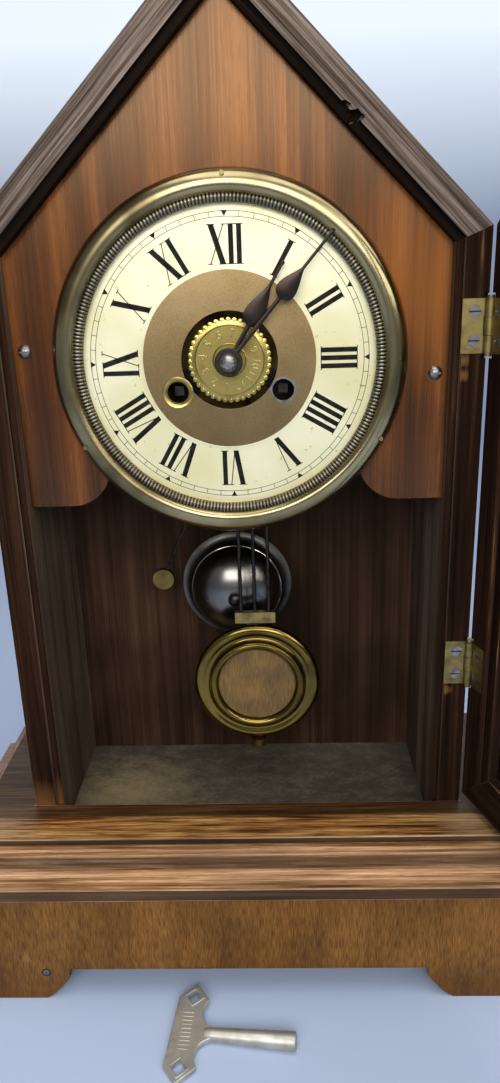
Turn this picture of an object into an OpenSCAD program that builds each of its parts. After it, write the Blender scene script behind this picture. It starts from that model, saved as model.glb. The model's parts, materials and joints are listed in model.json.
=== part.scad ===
// Peaked mantel alarm clock with a bell, a short pendulum and an open front door.
// Millimetres: X to the right, Y from front to back, Z up.
// The origin is on the table, under the middle of the rear plinth rail.

/* [Case] */
// Outside width of the case
case_w = 210; // [196:1:240]
// Depth of the case from its front edge to its back
case_d = 82; // [78:1:120]
// Height of the side walls from the base to the eaves
wall_h = 286.5; // [275:0.5:330]
// Slope of the roof boards in degrees
roof_pitch = 45; // [42:1:52]
// Thickness of the case boards at the front edge
board_t = 10; // [8:0.5:12]
// Thickness of the lining inside walls and roof
lining_t = 3.4; // [2:0.2:5]
// Set-back of the lining from the front edge
lining_back = 3; // [1:0.5:5]
// Thickness of the back board
back_t = 8; // [6:0.5:12]
// Thickness of the floor panel
floor_t = 9; // [5:0.5:14]

/* [Base] */
// Height of the plinth boards
plinth_h = 60; // [50:1:80]
// Thickness of the plinth boards
plinth_t = 10; // [8:0.5:14]
// Distance that the plinth stands out from the case
plinth_out = 38.5; // [32:0.5:40]
// Thickness of the base board inside the plinth
base_t = 9; // [6:0.5:14]
// Height of the arch between the front feet
arch_h = 17.5; // [12:0.5:24]
// Straight step at each end of the arch
arch_step = 4.5; // [2:0.5:7]
// Half width of the arch at its top
arch_half = 85.5; // [70:0.5:92]
// Half width between the feet on the table
foot_half = 98; // [94:0.5:110]
// Height of the base moulding
moulding_h = 22.7; // [20:0.1:28]
// Distance that the moulding stands out from the case
moulding_out = 41; // [40.5:0.5:48]
// Width of the flat deck on top of the moulding
deck_w = 26; // [22:0.5:28]
// Height of the fascia under the moulding
fascia_h = 6.5; // [4:0.5:8]

/* [Dial] */
// Height of the dial centre above the base
dial_up = 237; // [230:0.5:250]
// Depth of the dial board behind the front edge
dial_set = 8.3; // [7:0.1:12]
// Thickness of the dial board
dial_board_t = 7; // [5:0.5:9]
// Height of the dial board's lower edge above the base
lobe_up = 175; // [165:0.5:180]
// Radius of the rounded lobes under the dial board
lobe_r = 18; // [12:0.5:20]
// Thickness of the dial plate
dial_t = 1; // [0.6:0.1:1.5]
// Radius of the brown centre disc
centre_disc_r = 36.9; // [34:0.1:40]
// Radius of the hole round the alarm disc
dial_hole_r = 20.4; // [19.5:0.1:21]
// Radius of the winding holes
winding_hole_r = 4.65; // [4.4:0.05:5]
// Outside radius of the bezel
bezel_r = 74.5; // [73:0.1:80]
// Height of the bezel above the dial board
bezel_h = 7.5; // [6.5:0.1:9]
// Distance that the bezel stands out beyond the dial plate
bezel_over = 8.7; // [8.2:0.1:10]
// Distance from the bezel's edge in to the middle of the roped ring
rope_in = 11.1; // [10.5:0.1:11.5]
// Thickness radius of the roped ring
rope_tube = 2.3; // [1.5:0.1:2.4]
// Radius of the alarm disc to the tips of its scallops
alarm_r = 18; // [16:0.1:19]
// Number of scallops round the alarm disc
alarm_scallops = 40; // [24:1:48]
// Distance of the hour hand's tip inside the edge of the dial plate
hour_short = 20.8; // [16:0.1:26]
// Distance of the minute hand's tip inside the edge of the dial plate
minute_short = 0.8; // [0.5:0.1:9]
// Direction of the hour hand, in degrees from twelve
hour_turn = 31; // [0:1:359]
// Direction of the minute hand, in degrees from twelve
minute_turn = 41; // [0:1:359]

/* [Movement] */
// Share of the depth behind the dial board that lies before the pendulum
pendulum_share = 0.148; // [0.142:0.001:0.152]
// Share of that depth from the pendulum to the front plate
plate_share = 0.119; // [0.116:0.001:0.13]
// Thickness of the movement plates
plate_t = 1.6; // [1.2:0.1:2]
// Share of that depth between the movement plates
gap_share = 0.484; // [0.481:0.001:0.51]
// Width of the movement plates
plate_w = 96; // [94:1:110]
// Tooth size of the barrels and of the pinions on them
barrel_m = 0.644; // [0.63:0.002:0.66]
// Tooth size of the centre wheel
centre_m = 0.5; // [0.48:0.01:0.52]
// Tooth size of the third wheel
third_m = 0.45; // [0.43:0.01:0.47]
// Tooth size of the motion work
motion_m = 0.5; // [0.48:0.01:0.52]
// Direction of the winding arbors below the horizontal
winding_angle = 29.5; // [27:0.5:32]
// Radius of the escape wheel
escape_r = 13; // [11:0.5:13.5]
// Width of the winding squares across the flats
square_w = 4; // [3.4:0.1:4.2]
// Radius of the winding arbors
winder_r = 2.9; // [2.9:0.05:3.2]

/* [Pendulum and bell] */
// Distance from the swing axis down to the middle of the bob
pendulum_l = 208; // [200:1:222]
// Radius of the bob
bob_r = 31.3; // [27:0.1:33]
// Distance between the pendulum rods
rod_pitch = 6.8; // [5:0.1:8]
// Radius of the pendulum rods
rod_r = 0.9; // [0.7:0.05:1]
// Radius of the bell at its rim
bell_r = 28.5; // [25:0.5:30]
// Depth of the bell
bell_d = 22; // [18:0.5:23]
// Distance of the bell below the dial centre
bell_drop = 120; // [118:0.5:124]
// Sideways place of the bell
bell_x = -3; // [-5:0.5:0]
// Length of the hammer wire
hammer_l = 69.4; // [66:0.2:72]
// Lean of the hammer wire from the vertical
hammer_lean = 24.2; // [23.5:0.1:27]
// Radius of the hammer head
hammer_r = 5.5; // [4:0.1:5.6]
// Thickness of the hammer head
hammer_t = 3.2; // [2:0.1:8]

/* [Door] */
// Opening angle of the door as shown
door_open = 108; // [0:1:170]
// Thickness of the door members
door_t = 14; // [12:0.5:18]
// Width of the door members
door_w = 17; // [14:0.5:22]
// Width of the rebate for the glass
rebate_w = 6; // [4:0.5:7]
// Depth of the rebate from the back of the door
rebate_d = 9.5; // [9:0.5:11]
// Thickness of the glass
glass_t = 2; // [1.5:0.1:2.4]
// Gap under the door, above the deck
door_lift = 5.3; // [1:0.1:12]
// Length of each hinge
hinge_l = 21.5; // [18:0.5:28]
// Width of a hinge leaf on the wood
leaf_w = 10.4; // [8:0.1:11]
// Thickness of the hinge leaves
leaf_t = 1.2; // [0.8:0.1:1.5]
// Height of the lower hinge above the base
hinge_low = 98; // [90:1:120]
// Distance of the upper hinge below the eaves
hinge_down = 38; // [30:0.5:80]

/* [Key] */
// Length of the key's pipe
key_pipe_l = 39.4; // [30:0.2:55]
// Radius of the key's pipe at its open end
key_pipe_r = 4.1; // [3.8:0.1:4.6]
// Length of the key's bow from tip to tip
key_bow_l = 49; // [40:1:54]
// Width of the key's bow
key_bow_w = 14.4; // [12:0.2:16]

/* [Hidden] */
$fn = 64;

// Clearances
run_gap = 0.05;
free_gap = 0.3;

// Main levels
half_w = case_w / 2;
base_top = plinth_h;
deck_z = base_top + moulding_h;
eave_z = base_top + wall_h;
apex_z = eave_z + half_w * tan(roof_pitch);
lined_t = board_t + lining_t;
room_half = half_w - lined_t;
back_y = case_d - back_t;
plinth_half = half_w + plinth_out;
dial_z = base_top + dial_up;
centre = [0, dial_z];

// Depth levels of the dial and the movement
board_back = dial_set + dial_board_t;
dial_face = dial_set - dial_t;
room_d = back_y - board_back;
plate_gap = gap_share * room_d;
pend_y = board_back + pendulum_share * room_d;
plate_y = pend_y + plate_share * room_d;
inner_y = plate_y + plate_t;
rear_plate_y = inner_y + plate_gap;
rear_y = rear_plate_y + plate_t;
alarm_y = dial_face + 0.7;
hour_hand_y = dial_face - 4.1;
minute_hand_y = hour_hand_y - 3.2;
hand_t = 0.8;

// Wheel train
wheel_t = 1.5;
barrel_teeth = 72;
centre_teeth = 80;
third_teeth = 72;
escape_teeth = 33;
leaf_8 = 8;
leaf_6 = 6;
cannon_teeth = 12;
minute_teeth = 36;
minute_leaves = 10;
hour_teeth = 40;
hour_m = motion_m * (cannon_teeth + minute_teeth) / (minute_leaves + hour_teeth);
pin_share = 0.5;
arbor_r = 2;
thin_r = 0.9;
pipe_r = 3;
barrel_gear_t = 2;
drum_r = 18;
drum_l = 15;
ratchet_r = 8;
ratchet_teeth = 18;
ratchet_t = 1.8;

// Levels between the plates, as shares of their distance
centre_wheel_y = level(0.085);
time_gear_y = level(0.225);
third_wheel_y = level(0.401);
escape_wheel_y = level(0.613);
alarm_gear_y = level(0.859);
star_y = level(0.12);
hammer_y = level(0.824);
cannon_y = plate_y - 2.2;
hour_wheel_y = plate_y - 4.4;
motion_t = 1;

// Arbor places, seen from the front
barrel_reach = spread(barrel_teeth, leaf_8, barrel_m);
time_at = polar(centre, barrel_reach, -winding_angle);
alarm_at = polar(centre, barrel_reach, 180 + winding_angle);
third_at = polar(centre, spread(centre_teeth, leaf_8, centre_m), 112);
escape_at = polar(third_at, spread(third_teeth, leaf_6, third_m), 30);
swing_at = escape_at + [0, 1.446 * escape_r];
minute_at = polar(centre, spread(cannon_teeth, minute_teeth, motion_m), 135);
star_at = polar(alarm_at, barrel_reach, -70);
star_r = 10.5;
star_teeth = 20;
hammer_at = star_at + [0.6, -15.6];
head_at = hammer_at - hammer_l * [sin(hammer_lean), cos(hammer_lean)];
plate_low = hammer_at[1] - 8;
plate_high = swing_at[1] + 9;
bell_at = [bell_x, dial_z - bell_drop];
bell_y = hammer_y + 2;
bob_at = swing_at - [0, pendulum_l];
foot_r = 4;
pillar_r = 3;
tenon_r = 1.6;
pillar_in = 6;
pillars = [
    for (x = [pillar_in - plate_w / 2, plate_w / 2 - pillar_in])
        for (z = [plate_low + pillar_in, plate_high - pillar_in])
            [x, z]
];
click_pin_r = 0.9;
function click_at(s) = s > 0 ? time_at + [11.5, ratchet_r] : alarm_at + [-11.5, ratchet_r];

// Dial fittings
dial_r = bezel_r - bezel_over;
rope_r = bezel_r - rope_in;
hour_hand_l = dial_r - hour_short;
minute_hand_l = dial_r - minute_short;
bezel_rim = 1;
flange_t = 0.8;
centre_disc_t = 0.4;
bezel_pin_r = bezel_r - 2.8;
pin_r = 0.9;
pin_h = bezel_rim + sqrt(pow(bezel_h - bezel_rim, 2) - pow(bezel_h - bezel_rim - 2.8, 2));
bezel_pins_at = [for (a = [90, 208.6, 332]) polar(centre, bezel_pin_r, a)];
dial_screws_at = [[5.1 - room_half, dial_z + 6], [room_half - 5.1, dial_z - 7.6]];
cleat_w = 10;
cleat_low = 5;
cleat_down = 11.5;
cleat_z = base_top + lobe_up + cleat_low;
cleat_h = eave_z - cleat_down - cleat_z;
thread_r = 1.2;
thread_l = 4;

// Pendulum fittings
spring_l = 12;
spring_gap = 0.3;
grid_h = 70;
label_h = 2.4;
crutch_y = pend_y + 3;
crutch_l = 27;
escape_core_r = 0.6;

// Door and hinges
door_play = 0.8;
door_low = deck_z + door_lift;
door_front = -door_play - door_t;
knuckle_r = 2.1;
hinge_pin_r = 0.9;
hinge_x = half_w + 0.5;
hinge_y = -door_play / 2;
hinges = [base_top + hinge_low, eave_z - hinge_down];
leaf_screws = [5 - hinge_l / 2, hinge_l / 2 - 5];
bead_back = 2.5;
mitre_gap = 0.1;
screw_r = 1.2;
screw_head_r = 2.4;
screw_l = 8;
hook_at = [0.146 * case_d, base_top + 0.56 * wall_h];
hook_l = 20;
hook_t = 1.6;
hook_x = -half_w - free_gap - hook_t;
hook_pin_r = 1.3;

// Key on the table
key_at = [-17.1, -60.7];
key_turn = -6.8;
key_bow_t = 2.4;
key_eye = 0.375 * key_bow_w;
key_neck_r = 0.71 * key_pipe_r;
key_gap = 0.25 * key_bow_w;
key_pitch = asin((key_pipe_r - key_neck_r) / key_pipe_l);
key_rest = key_neck_r + 0.1;
key_tilt = asin((key_rest - key_bow_w * sin(key_pitch) - key_bow_t / 2 - 0.2) / (key_bow_l / 2));

// Shaping helpers
function polar(p, r, a) = p + r * [cos(a), sin(a)];
function spread(a, b, m) = (a + b) * m / 2;
function level(share) = inner_y + share * plate_gap;
function bearing(p, q) = atan2(q[1] - p[1], q[0] - p[0]);

// Corners of the house outline, drawn in by an inset
function gable(inset, low) =
    let (x = half_w - inset)
    let (eave = eave_z - inset * (1 / cos(roof_pitch) - tan(roof_pitch)))
    [[-x, low], [-x, eave], [0, apex_z - inset / cos(roof_pitch)], [x, eave], [x, low]];

// One mitred side between two outlines
function member(i, outer, inner) =
    let (j = (i + 1) % 5)
    [outer[i], outer[j], inner[j], inner[i]];

// Straight-flanked wheel teeth
function teeth(n, m, add, ded, root, tip) = [
    for (i = [0:n - 1])
        for (s = [[-root, -ded], [-tip, add], [tip, add], [root, -ded]])
            let (r = n * m / 2 + s[1] * m)
            polar([0, 0], r, 360 * i / n + s[0] * m / r * 180 / PI)
];
function train_teeth(n, m) = teeth(n, m, 1, 1.1, 0.95, 0.3);
function motion_teeth(n, m) = teeth(n, m, 0.8, 1.1, 0.9, 0.3);
function saw_teeth(n, r, depth, lean) = [
    for (i = [0:n - 1])
        for (s = [[0, r], [0.12, r], [lean, r - depth]])
            polar([0, 0], s[1], 360 * (i + s[0]) / n)
];

// Half width of a hand along its length: stem, pear-shaped lobe, thin tip
function hand_half(d, from, to, wide) =
    d > from && d < to
        ? max(0.55, wide * sin(180 * pow((d - from) / (to - from), 0.55)))
        : (d <= from ? 0.9 : 0.55);

// A flat outline in X and Z, given a thickness towards the back
module slab(y, t) {
    translate([0, y + t, 0]) rotate([90, 0, 0]) linear_extrude(t) children();
}

// The same, drawn about an arbor
module stood(p, y, t) {
    translate([p[0], y + t, p[1]]) rotate([90, 0, 0]) linear_extrude(t) children();
}

// A profile of radius and height, turned about an arbor, its height towards the front
module turned(p, y) {
    translate([p[0], y, p[1]]) rotate([90, 0, 0]) rotate_extrude() children();
}

// A round bar along an arbor
module bar(p, y, t, r) {
    stood(p, y, t) circle(r);
}

// Pins of a lantern pinion between two shrouds
module lantern(p, y, t, n, m, turn) {
    shroud_t = 0.8;
    shroud_r = n * m / 2 + pin_share * m + 0.3;
    bar(p, y - shroud_t, shroud_t, shroud_r);
    bar(p, y + t, shroud_t, shroud_r);
    stood(p, y - shroud_t / 2, t + shroud_t) rotate(turn)
        for (i = [0:n - 1]) rotate(360 * i / n) translate([n * m / 2, 0]) circle(pin_share * m, $fn = 24);
}

// A wheel with crossings between rim and hub
module spoked(r_in, r_hub, spokes) {
    difference() {
        children();
        circle(r_in);
    }
    circle(r_hub);
    for (i = [0:spokes - 1]) rotate(360 * i / spokes) translate([0, -0.8]) square([r_in + 0.3, 1.6]);
}

// A slotted screw along Y with its head to the front, seated at the origin
module round_screw(l) {
    rotate([90, 0, 0]) difference() {
        union() {
            translate([0, 0, -l]) cylinder(h = l, r = screw_r);
            rotate_extrude() intersection() {
                translate([0, -1.4]) circle(3.3);
                square([4, 4]);
            }
        }
        translate([-4, -0.35, 1.1]) cube([8, 0.7, 2]);
    }
}
module flat_screw(l) {
    rotate([90, 0, 0]) difference() {
        union() {
            translate([0, 0, -l]) cylinder(h = l, r = screw_r);
            translate([0, 0, -leaf_t]) cylinder(h = leaf_t, r1 = screw_r, r2 = screw_head_r);
        }
        translate([-4, -0.3, -0.5]) cube([8, 0.6, 2]);
    }
}
module flat_hole() {
    rotate([90, 0, 0]) union() {
        translate([0, 0, -leaf_t - 1]) cylinder(h = leaf_t + 1.2, r = screw_r + run_gap);
        translate([0, 0, -leaf_t]) cylinder(h = leaf_t, r1 = screw_r + run_gap, r2 = screw_head_r + run_gap);
    }
}

// Base
module arch_outline() {
    low = arch_h - arch_step;
    run = foot_half - arch_half;
    left = [for (t = [0:0.2:1]) [-foot_half + run * t, low * pow(t, 1.4)]];
    right = [for (t = [1:-0.2:-0.01]) [foot_half - run * t, low * pow(max(t, 0), 1.4)]];
    polygon(concat(
        [[-plinth_half, 0]], left, [[-arch_half, arch_h], [arch_half, arch_h]], right,
        [[plinth_half, 0], [plinth_half, plinth_h], [-plinth_half, plinth_h]]
    ));
}
module plinth_front() {
    color("saddlebrown") slab(-plinth_out, plinth_t) arch_outline();
}
module plinth_sides() {
    color("saddlebrown") for (x = [-plinth_half, plinth_half - plinth_t])
        translate([x, plinth_t - plinth_out, 0]) cube([plinth_t, case_d + plinth_out - plinth_t, plinth_h]);
}
module plinth_back() {
    color("saddlebrown") translate([plinth_t - plinth_half, case_d - plinth_t, 0])
        cube([2 * (plinth_half - plinth_t), plinth_t, plinth_h]);
}
module base_board() {
    color("peru") translate([plinth_t - plinth_half, plinth_t - plinth_out, base_top - base_t])
        cube([2 * (plinth_half - plinth_t), case_d + plinth_out - 2 * plinth_t, base_t]);
}

// Moulding section, outward distance and height above the base: a lip, an ogee and the fascia
module moulding_outline() {
    lip = 3.2;
    hollow_share = 0.6;
    edge_gap = 0.05;
    ogee = min(moulding_h - lip - fascia_h, moulding_out - deck_w - 1);
    hollow_r = hollow_share * ogee;
    round_r = ogee - hollow_r;
    fillet_x = deck_w + (moulding_out - deck_w - ogee) / 2;
    waist = fascia_h + hollow_r;
    difference() {
        union() {
            square([moulding_out, fascia_h]);
            square([deck_w, moulding_h]);
            square([fillet_x, fascia_h + ogee]);
            square([fillet_x + ogee, waist]);
            translate([fillet_x, waist]) circle(round_r);
        }
        translate([fillet_x + ogee, waist]) circle(hollow_r - edge_gap);
    }
}
module base_moulding() {
    corner = half_w + moulding_out;
    color("sienna") translate([0, 0, base_top]) {
        intersection() {
            translate([corner, 0, 0]) rotate([90, 0, -90]) linear_extrude(2 * corner) moulding_outline();
            linear_extrude(moulding_h)
                polygon([[-half_w, 0], [half_w, 0], [corner, -moulding_out], [-corner, -moulding_out]]);
        }
        for (s = [0, 1]) mirror([s, 0, 0]) intersection() {
            translate([half_w, case_d, 0]) rotate([90, 0, 0])
                linear_extrude(case_d + moulding_out) moulding_outline();
            linear_extrude(moulding_h)
                polygon([
                    [half_w, mitre_gap], [corner, mitre_gap - moulding_out],
                    [corner, case_d], [half_w, case_d]
                ]);
        }
    }
}
module floor_panel() {
    color("dimgray") translate([-room_half, 0, base_top]) cube([2 * room_half, back_y, floor_t]);
}

// Case boards: a front edge and a thicker lined part behind it
module case_side(i) {
    outer = gable(0, base_top);
    slab(0, case_d) polygon(member(i, outer, gable(board_t, base_top)));
    slab(lining_back, case_d - lining_back) polygon(member(i, outer, gable(lined_t, base_top)));
}
module wall_left() {
    color("saddlebrown") difference() {
        case_side(0);
        translate([-half_w - 1, hook_at[0], hook_at[1]]) rotate([0, 90, 0])
            cylinder(h = 9, r = screw_r + run_gap);
    }
}
module wall_right() {
    color("saddlebrown") difference() {
        case_side(3);
        for (z = hinges) {
            translate([half_w - leaf_w, -1, z - hinge_l / 2]) cube([2 * leaf_w, leaf_t + 1, hinge_l]);
            translate([hinge_x, hinge_y, z - hinge_l / 2 - 2])
                cylinder(h = hinge_l + 4, r = knuckle_r + free_gap);
            for (s = leaf_screws) translate([half_w - leaf_w / 2, leaf_t, z + s])
                rotate([-90, 0, 0]) cylinder(h = 8, r = screw_r + run_gap);
        }
    }
}
module roof_left() {
    color("saddlebrown") case_side(1);
}
module roof_right() {
    color("saddlebrown") case_side(2);
}
module back_board() {
    color("sienna") difference() {
        slab(back_y, back_t) polygon(gable(lined_t, base_top));
        for (p = pillars) bar(p, back_y - 1, 6, tenon_r + run_gap);
        bar(bell_at, back_y - 1, 6, tenon_r + run_gap);
    }
}

// Dial board with two rounded lobes, and the cleats that carry it
module dial_board_outline() {
    half = room_half - run_gap;
    low = base_top + lobe_up;
    lobe_x = half - 1.05 * lobe_r;
    intersection() {
        polygon(gable(lined_t + run_gap, low));
        union() {
            translate([-half, low + lobe_r]) square([2 * half, apex_z]);
            for (s = [-1, 1]) {
                translate([s * lobe_x, low + lobe_r]) circle(lobe_r);
                translate([s > 0 ? lobe_x : -half, low]) square([half - lobe_x, 2 * lobe_r]);
            }
        }
    }
}
module dial_board() {
    color("chocolate") difference() {
        slab(dial_set, dial_board_t) dial_board_outline();
        bar(centre, dial_set - 1, dial_board_t + 2, dial_hole_r + 1.6);
        for (p = [time_at, alarm_at]) bar(p, dial_set - 1, dial_board_t + 2, winding_hole_r + 2.4);
        for (p = dial_screws_at) bar(p, dial_set - 1, dial_board_t + 2, screw_r + run_gap);
        for (p = bezel_pins_at) bar(p, dial_set - 1, 4, pin_r + run_gap);
    }
}
module dial_cleats() {
    color("peru") difference() {
        for (s = [0, 1]) mirror([s, 0, 0])
            translate([room_half - cleat_w, board_back, cleat_z]) cube([cleat_w, cleat_w, cleat_h]);
        for (p = dial_screws_at) bar(p, board_back - 1, 6, screw_r + run_gap);
    }
}
module dial_fixings() {
    color("silver") for (p = dial_screws_at) translate([p[0], dial_set, p[1]]) round_screw(dial_board_t + 5);
    color("goldenrod") for (p = bezel_pins_at) bar(p, dial_set - pin_h - 0.9, pin_h + 3.9, pin_r);
}

// Dial
module winding_holes(r) {
    for (p = [time_at, alarm_at]) translate(p - centre) circle(r);
}
module dial_plate() {
    color("ivory") stood(centre, dial_face, dial_t) difference() {
        circle(dial_r, $fn = 128);
        circle(dial_hole_r);
        winding_holes(winding_hole_r);
    }
}
module dial_centre() {
    color("peru") stood(centre, dial_face - centre_disc_t, centre_disc_t) difference() {
        circle(centre_disc_r, $fn = 128);
        circle(dial_hole_r);
        winding_holes(winding_hole_r);
    }
}
module winding_grommet() {
    grip = 0.5;
    color("gold") turned(alarm_at, dial_face - centre_disc_t) difference() {
        union() {
            translate([winding_hole_r - grip, -dial_t - centre_disc_t]) square([grip - run_gap, dial_t + 1]);
            translate([winding_hole_r - grip, 0]) square([1.4 + grip, 0.6]);
        }
        translate([winding_hole_r + 1.4, 0.9]) circle(0.5);
    }
}
module bezel() {
    wall = 0.8;
    round_r = bezel_h - bezel_rim;
    crest = bezel_r - round_r;
    seat = dial_t + flange_t;
    slope = rope_r + rope_tube + 0.2;
    color("goldenrod") difference() {
        turned(centre, dial_set) difference() {
            union() {
                translate([dial_r + free_gap, 0]) square([bezel_r - dial_r - free_gap, bezel_rim]);
                intersection() {
                    translate([crest, bezel_rim]) circle(round_r);
                    translate([rope_r - rope_tube, dial_t]) square([bezel_r, bezel_h]);
                }
            }
            polygon([
                [0, seat], [slope, seat], [crest, bezel_h + 0.01], [crest, 2 * bezel_h], [0, 2 * bezel_h]
            ]);
            intersection() {
                union() {
                    translate([crest, bezel_rim]) circle(round_r - wall);
                    translate([crest, -1]) square([round_r - wall, bezel_rim + 1]);
                }
                polygon([
                    [crest, -1], [bezel_r, -1], [bezel_r, bezel_h], [crest + 2 * wall, bezel_h], [crest, seat]
                ]);
            }
        }
        for (p = bezel_pins_at) bar(p, dial_set - bezel_h, bezel_h + 1, pin_r + run_gap);
    }
}
module rope_ring() {
    seat = dial_t + flange_t;
    color("darkgoldenrod") turned(centre, dial_set) intersection() {
        translate([rope_r, seat + 0.7 * rope_tube]) circle(rope_tube);
        translate([rope_r - 2 * rope_tube, seat]) square(4 * rope_tube);
    }
}

// Hands and alarm disc
module alarm_disc() {
    scallop = 1.25;
    color("gold") difference() {
        union() {
            stood(centre, alarm_y, hand_t) union() {
                circle(alarm_r - scallop);
                for (i = [0:alarm_scallops - 1]) rotate(360 * i / alarm_scallops)
                    translate([alarm_r - scallop, 0]) circle(scallop, $fn = 24);
            }
            bar(centre, alarm_y, 4, 5);
        }
        bar(centre, alarm_y - 1, 6, pipe_r + run_gap);
    }
}
module hand(l, hub, from, to, wide) {
    along = [for (i = [0:36]) l * i / 36];
    up = [for (d = along) [hand_half(d, from, to, wide), d]];
    down = [for (i = [36:-1:0]) [-up[i][0], up[i][1]]];
    polygon(concat(up, down));
    circle(hub);
    translate([0, l]) circle(0.55, $fn = 24);
}
module hour_hand() {
    color("midnightblue") stood(centre, hour_hand_y, hand_t) difference() {
        rotate(-hour_turn) hand(hour_hand_l, 4.8, 0.36 * hour_hand_l, 0.78 * hour_hand_l, 4.6);
        circle(pipe_r - 0.5);
    }
}
module minute_hand() {
    color("midnightblue") stood(centre, minute_hand_y, hand_t) difference() {
        rotate(-minute_turn) hand(minute_hand_l, 4.2, 0.5 * minute_hand_l, 0.74 * minute_hand_l, 4.6);
        circle(arbor_r - 0.5);
    }
}
module hand_nut() {
    washer_t = 0.8;
    color("dimgray") stood(centre, minute_hand_y - washer_t, washer_t) difference() {
        circle(5.8);
        circle(thread_r + run_gap);
    }
    color("silver") turned(centre, minute_hand_y - washer_t - run_gap) difference() {
        union() {
            square([4.3, 1.4]);
            intersection() {
                translate([0, 0.4]) circle(4.3);
                translate([0, 1.2]) square([5, 5]);
            }
        }
        square([thread_r + run_gap, thread_l - washer_t + run_gap]);
    }
}

// Movement frame
module plate(y, bores) {
    stood([0, plate_low], y, plate_t) difference() {
        translate([-plate_w / 2, 0]) square([plate_w, plate_high - plate_low]);
        for (b = bores) translate(b[0] - [0, plate_low]) circle(b[1] + run_gap);
        for (p = pillars) translate(p - [0, plate_low]) circle(tenon_r);
        for (x = [-plate_w / 2, plate_w / 2]) translate([x, 0.52 * (plate_high - plate_low)]) circle(9);
    }
}
module front_plate() {
    color("gold") plate(plate_y, [
        [time_at, winder_r], [alarm_at, winder_r], [centre, arbor_r], [third_at, thin_r], [escape_at, thin_r],
        [swing_at, thin_r], [star_at, thin_r], [hammer_at, thin_r], [minute_at, thin_r],
        [click_at(1), click_pin_r], [click_at(-1), click_pin_r]
    ]);
}
module back_plate() {
    color("gold") plate(rear_plate_y, [
        [time_at, winder_r], [alarm_at, winder_r], [centre, thin_r], [third_at, thin_r], [escape_at, thin_r],
        [swing_at, thin_r], [star_at, thin_r], [hammer_at, thin_r]
    ]);
}
module plate_pillars() {
    color("gold") for (p = pillars) {
        bar(p, inner_y, plate_gap, pillar_r);
        bar(p, plate_y - 3, plate_t + 4, tenon_r);
        bar(p, rear_plate_y - 1, plate_t + 4, tenon_r);
    }
}
module pillar_nuts() {
    color("silver") for (p = pillars) stood(p, plate_y - 2.4, 2.4) difference() {
        circle(3.4, $fn = 6);
        circle(tenon_r);
    }
}
module movement_feet() {
    color("peru") for (p = pillars) {
        stood(p, rear_y, back_y - rear_y) difference() {
            circle(foot_r);
            circle(tenon_r);
        }
        bar(p, rear_y + 3, back_y - rear_y + 1.5, tenon_r);
    }
}
module suspension_cock() {
    x = swing_at[0];
    z = swing_at[1];
    color("gold") {
        translate([x - 4, pend_y - 2, z + 3.5]) cube([8, plate_y - pend_y + 2, 4.5]);
        translate([x - 4, pend_y - 2, z + spring_gap]) cube([8, 4, 8 - spring_gap]);
    }
}

// Time train
module centre_arbor() {
    turn = bearing(centre, time_at) + 180 / leaf_8;
    color("gold") {
        bar(centre, minute_hand_y - thread_l, thread_l + 1, thread_r);
        bar(centre, minute_hand_y, hand_t, arbor_r - 0.5);
        bar(centre, minute_hand_y + hand_t, centre_wheel_y - minute_hand_y, arbor_r);
        bar(centre, centre_wheel_y, rear_plate_y - centre_wheel_y - 0.5, 1.2);
        bar(centre, rear_plate_y - 1, plate_t + 1, thin_r);
        stood(centre, cannon_y, motion_t) rotate(bearing(centre, minute_at))
            polygon(motion_teeth(cannon_teeth, motion_m));
        stood(centre, centre_wheel_y, wheel_t) spoked(0.78 * centre_teeth * centre_m / 2, 4, 5)
            rotate(bearing(centre, third_at)) polygon(train_teeth(centre_teeth, centre_m));
        lantern(centre, time_gear_y - 1, barrel_gear_t + 2, leaf_8, barrel_m, turn);
    }
}
module minute_wheel() {
    turn = bearing(minute_at, centre);
    color("gold") {
        stood(minute_at, cannon_y, motion_t) rotate(turn + 180 / minute_teeth)
            polygon(motion_teeth(minute_teeth, motion_m));
        stood(minute_at, hour_wheel_y - 0.2, cannon_y - hour_wheel_y + 0.2) rotate(turn + 180 / minute_leaves)
            polygon(motion_teeth(minute_leaves, hour_m));
        bar(minute_at, cannon_y, plate_y + plate_t - cannon_y, thin_r);
    }
}
module hour_wheel() {
    color("gold") difference() {
        union() {
            stood(centre, hour_wheel_y, 1.2) rotate(bearing(centre, minute_at))
                polygon(motion_teeth(hour_teeth, hour_m));
            bar(centre, hour_hand_y + hand_t, hour_wheel_y - hour_hand_y, pipe_r);
            bar(centre, hour_hand_y - 0.2, 2, pipe_r - 0.5);
        }
        bar(centre, hour_hand_y - 1, hour_wheel_y - hour_hand_y + 4, arbor_r + run_gap);
    }
}
module arbor(p) {
    bar(p, plate_y, rear_y - plate_y, thin_r);
}
module third_wheel() {
    turn = bearing(third_at, centre) + 180 / leaf_8;
    color("gold") {
        arbor(third_at);
        lantern(third_at, centre_wheel_y - 1, wheel_t + 2, leaf_8, centre_m, turn);
        stood(third_at, third_wheel_y, wheel_t) spoked(0.78 * third_teeth * third_m / 2, 3, 4)
            rotate(bearing(third_at, escape_at)) polygon(train_teeth(third_teeth, third_m));
    }
}
module escape_wheel() {
    turn = bearing(escape_at, third_at) + 180 / leaf_6;
    color("gold") {
        bar(escape_at, plate_y, rear_y - plate_y, escape_core_r);
        bar(escape_at, plate_y, plate_t, thin_r);
        bar(escape_at, rear_plate_y, plate_t, thin_r);
        lantern(escape_at, third_wheel_y - 1, wheel_t + 2, leaf_6, third_m, turn);
        stood(escape_at, escape_wheel_y, wheel_t) spoked(0.7 * escape_r, 3, 4)
            polygon(saw_teeth(escape_teeth, escape_r, 2, 0.85));
    }
}
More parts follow.
